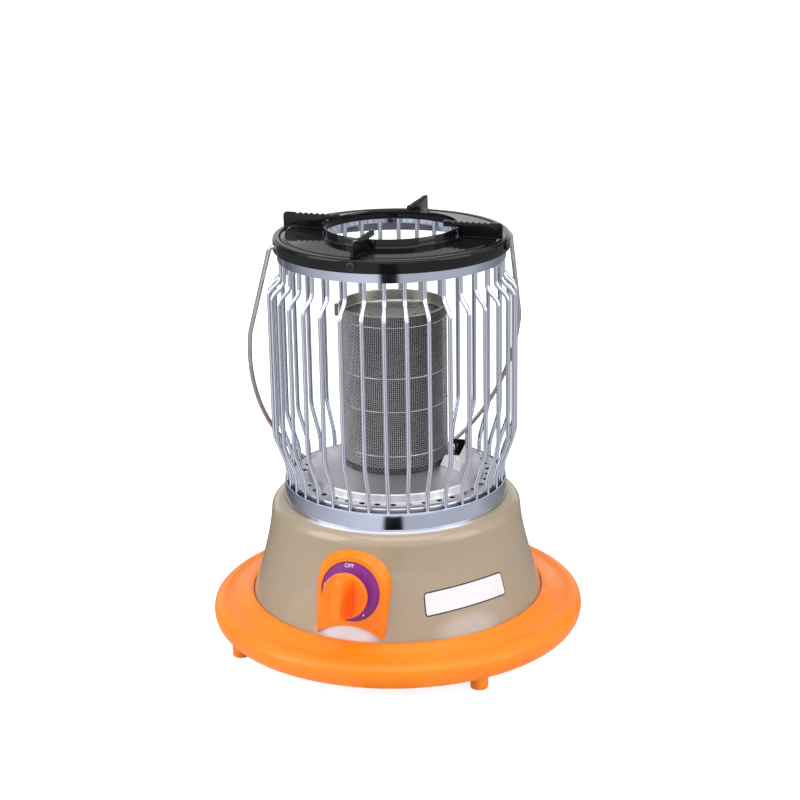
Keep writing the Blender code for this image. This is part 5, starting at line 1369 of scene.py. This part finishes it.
DIAL_PURPLE_DEEP = (0.215, 0.030, 0.265)


def edit_where(shape, chosen):
    """Enters edit mode with only the points selected whose place passes a test."""
    bpy.ops.object.mode_set(mode="EDIT")
    bpy.ops.mesh.select_all(action="DESELECT")
    bpy.ops.object.mode_set(mode="OBJECT")
    for vert in shape.data.vertices:
        vert.select = chosen(vert.co)
    bpy.ops.object.mode_set(mode="EDIT")


def arch_block(name, half_width, foot, low, high):
    """Block with a half round top over straight sides, in the panel's own frame."""
    bpy.ops.object.select_all(action="DESELECT")
    bpy.ops.mesh.primitive_circle_add(vertices=96, radius=half_width, location=(0, 0, low))
    block = bpy.context.object
    block.name = name
    settle()
    near_zero = half_width / 100
    edit_where(block, lambda place: place.y < -near_zero)
    bpy.ops.mesh.delete(type="VERT")
    bpy.ops.object.mode_set(mode="OBJECT")
    edit_where(block, lambda place: abs(place.y) < near_zero)
    bpy.ops.mesh.extrude_vertices_move(TRANSFORM_OT_translate={"value": (0, -foot, 0)})
    bpy.ops.mesh.select_all(action="SELECT")
    bpy.ops.mesh.edge_face_add()
    bpy.ops.mesh.select_all(action="SELECT")
    bpy.ops.mesh.extrude_region_move(TRANSFORM_OT_translate={"value": (0, 0, high - low)})
    leave_edit()
    return block


def drum(radius, low, high, sides=96):
    """Plain round block or tool in the panel's own frame."""
    bpy.ops.object.select_all(action="DESELECT")
    bpy.ops.mesh.primitive_cylinder_add(vertices=sides, radius=radius, depth=high - low,
                                        location=(0, 0, (low + high) / 2))
    settle()
    return bpy.context.object


def set_on_panel(shape):
    """Moves a piece from the panel's own frame to its place on the housing."""
    take(shape)
    settle(Matrix.Translation(PANEL_PLACE) @ Matrix.Rotation(math.radians(90) - PANEL_TILT, 4, "X"))


bezel = arch_block("knob_bezel_moulding", BEZEL_HALF_WIDTH, BEZEL_DEPTH, -BEZEL_BACK, 0)
edit_where(bezel, lambda place: place.z < -BEZEL_BACK / 2)
bpy.ops.transform.resize(value=(BEZEL_DRAFT, BEZEL_DRAFT, 1), center_override=(0, 0, 0))
bpy.ops.transform.translate(value=(0, BEZEL_RISE, 0))
bpy.ops.object.mode_set(mode="OBJECT")
add_bevel(bezel, BEZEL_EDGE_R, segments=5, degrees=60)
combine(bezel, drum(DIAL_R + DIAL_GAP, -DIAL_RECESS, CUT_FRONT))
combine(bezel, arch_block("hollow", BEZEL_HALF_WIDTH - BEZEL_WALL, BEZEL_DEPTH + CUT_PAST,
                          CUT_BACK, -BEZEL_FACE))
combine(bezel, drum(BEZEL_BORE_R, CUT_BACK, CUT_FRONT))
arch = drum(BEZEL_ARCH_R, CUT_BACK, CUT_FRONT, sides=160)
bpy.ops.transform.translate(value=(0, BEZEL_ARCH_TOP - BEZEL_ARCH_R, 0))
combine(bezel, arch)
set_on_panel(bezel)
wall_line = [(radius + WALL_GAP, z) for radius, z in flare + shoulder]
envelope = spun(
    "envelope", [(AXIS_R, HOUSING_FOOT[1]), *wall_line, (AXIS_R, HOUSING_TOP_Z + WALL_GAP)],
    segments=160,
)
close_ends()
combine(bezel, envelope)
bpy.ops.mesh.primitive_cube_add(size=CUT_BLOCK, location=(0, 0, BEZEL_LOW_Z - CUT_BLOCK / 2))
combine(bezel, bpy.context.object)
add_bevel(bezel, BEZEL_SEAM_R, degrees=50)
bezel.data.materials.append(orange_plastic)
fit(bezel, "stove", "orange_plastic", "knob_bezel")

dial = drum(DIAL_R, DIAL_GAP - DIAL_RECESS, DIAL_FRONT)
dial.name = "dial_disc"
combine(dial, drum(DIAL_BORE_R, CUT_BACK, CUT_FRONT, sides=48))
add_bevel(dial, DIAL_EDGE_R)
set_on_panel(dial)
purple_print = surface(
    "purple_print", moulded_skin, {"Peel Scale": 500, "Patch Scale": 50},
    DIAL_PURPLE, DIAL_PURPLE_DEEP, (0.34, 0.46), bump=0.05, Specular_IOR_Level=0.3,
)
dial.data.materials.append(purple_print)
fit(dial, "stove", "purple_print", "dial_plate")

# Dial marks: OFF at the top, and a mark at each end of the knob's turn
WHITE_INK = (0.88, 0.86, 0.90)
WHITE_INK_DEEP = (0.76, 0.72, 0.80)
INK_DEPTH = 0.00003
INK_SPREAD = 0.00008
INK_LIFT = 0.00005
white_ink = surface(
    "white_ink", moulded_skin, {"Peel Scale": 900, "Patch Scale": 90},
    WHITE_INK, WHITE_INK_DEEP, (0.35, 0.50), bump=0.05,
)
for name, words, size, across, up in (
    ("mark_off", "OFF", 0.0049, -0.0018, 0.0226),
    ("mark_start", "0", 0.0036, -0.0238, 0.0034),
    ("mark_end", "4", 0.0036, 0.0120, -0.0202),
):
    bpy.ops.object.select_all(action="DESELECT")
    bpy.ops.object.text_add(location=(0, 0, 0))
    mark = bpy.context.object
    mark.name = name
    mark.data.body = words
    mark.data.size = size
    mark.data.align_x = "CENTER"
    mark.data.align_y = "CENTER"
    mark.data.extrude = INK_DEPTH
    mark.data.offset = INK_SPREAD
    bpy.ops.object.convert(target="MESH")
    settle(Matrix.Translation((across, up, DIAL_FRONT + INK_LIFT)))
    set_on_panel(mark)
    mark.data.materials.append(white_ink)
    fit(mark, "stove", "purple_print", smooth=0)

# Knob. A thick orange disc with a tall finger grip across it, moulded in one with soft
# fillets. It is pressed in to open the valve and turned to set the flame.
KNOB_R = 0.0201
KNOB_HUB_R = 0.0150
KNOB_BACK = DIAL_FRONT + 0.0045
KNOB_FRONT = DIAL_FRONT + 0.0170
KNOB_RIM = 0.0048
KNOB_CREST = KNOB_FRONT + 0.0210
GRIP_FOOT = 0.0140
GRIP_TOP = 0.0085
GRIP_END_INSET = 0.0008
GRIP_END_TAPER = 0.86
GRIP_END_PAST = 0.001
KNOB_VOXEL = 0.00045
KNOB_SOFTENING = 9
KNOB_ORANGE = (1.0, 0.238, 0.004)
KNOB_ORANGE_DEEP = (0.94, 0.195, 0.002)
# Painted shade in the corner at the foot of the grip's right side: its tone, place, size and strength
KNOB_CORNER_SHADE = (0.90, 0.075, 0.002)
KNOB_SHADE_PLACE = (0.0072, -0.1500, 0.0790)
KNOB_SHADE_SIZE = (0.0042, 0.0600, 0.0220)
KNOB_SHADE_STRENGTH = 0.75
knob = drum(KNOB_R, KNOB_FRONT - KNOB_RIM, KNOB_FRONT)
knob.name = "knob_moulding"
rim_middle = KNOB_FRONT - KNOB_RIM / 2
combine(knob, drum(KNOB_HUB_R, KNOB_BACK, rim_middle), "UNION")
bpy.ops.mesh.primitive_cube_add(size=1)
grip = bpy.context.object
grip.scale = (GRIP_FOOT, 2 * KNOB_R, KNOB_CREST - rim_middle)
grip.location = (0, 0, (KNOB_CREST + rim_middle) / 2)
settle()
for vert in grip.data.vertices:
    if vert.co.z > KNOB_FRONT:
        vert.co.x *= GRIP_TOP / GRIP_FOOT
ends = drum(KNOB_R - GRIP_END_INSET, KNOB_FRONT - KNOB_RIM, KNOB_CREST + GRIP_END_PAST)
for vert in ends.data.vertices:
    if vert.co.z > KNOB_CREST:
        vert.co.x *= GRIP_END_TAPER
        vert.co.y *= GRIP_END_TAPER
combine(grip, ends, "INTERSECT")
combine(knob, grip, "UNION")
bpy.context.view_layer.objects.active = knob
remesh = knob.modifiers.new("remesh", "REMESH")
remesh.mode = "VOXEL"
remesh.voxel_size = KNOB_VOXEL
bpy.ops.object.modifier_apply(modifier="remesh")
soften = knob.modifiers.new("soften", "SMOOTH")
soften.factor = 0.5
soften.iterations = KNOB_SOFTENING
bpy.ops.object.modifier_apply(modifier="soften")
set_on_panel(knob)
knob_plastic = surface(
    "knob_plastic", moulded_skin, {"Peel Scale": 900, "Patch Scale": 22},
    KNOB_ORANGE, KNOB_ORANGE_DEEP, (0.32, 0.42), bump=0.10, depth=0.00015, Specular_IOR_Level=0.35,
)
# Painted shade: deeper orange in the corner at the foot of the grip's right side
tint_near(knob_plastic, KNOB_CORNER_SHADE, KNOB_SHADE_PLACE, KNOB_SHADE_SIZE, KNOB_SHADE_STRENGTH)
knob.data.materials.append(knob_plastic)
fit(knob, "control", "orange_plastic", "knob", smooth=0)
bpy.ops.object.shade_smooth()

# Gas train, behind the panel and at the back: a cast valve on its bracket with its brass stem
# and plunger, the igniter, copper pipes, the injector and mixing tube, and the hose nipple.
BRASS = (0.60, 0.42, 0.16)
BRASS_DEEP = (0.44, 0.29, 0.10)
ALLOY = (0.38, 0.38, 0.39)
ALLOY_DEEP = (0.28, 0.28, 0.29)
IGNITER_BLACK = (0.025, 0.025, 0.027)
IGNITER_BLACK_DEEP = (0.040, 0.040, 0.042)
COPPER = (0.62, 0.30, 0.16)
COPPER_DEEP = (0.42, 0.18, 0.09)
brass = surface(
    "brass", rolled_sheet, {"Grain Scale": 600, "Patch Scale": 90, "Stretch": (1, 1, 0.3)},
    BRASS, BRASS_DEEP, (0.22, 0.38), metallic=1.0, bump=0.08,
)
cast_alloy = surface(
    "cast_alloy", moulded_skin, {"Peel Scale": 420, "Patch Scale": 60},
    ALLOY, ALLOY_DEEP, (0.42, 0.58), metallic=0.9, bump=0.3, depth=0.0003,
)
black_plastic = surface(
    "black_plastic", moulded_skin, {"Peel Scale": 800, "Patch Scale": 60},
    IGNITER_BLACK, IGNITER_BLACK_DEEP, (0.42, 0.56), bump=0.15,
)
copper = surface(
    "copper", rolled_sheet, {"Grain Scale": 400, "Patch Scale": 60, "Stretch": (1, 1, 0.2)},
    COPPER, COPPER_DEEP, (0.24, 0.42), metallic=1.0, bump=0.08,
)
repaint(copper, "gas_pipe", "inlet_pipe")
repaint(brass, "valve_stem", "valve_plunger", "injector", "hose_nipple", "nipple_nut")
repaint(cast_alloy, "gas_valve", "mixing_tube")
repaint(black_plastic, "igniter_unit")
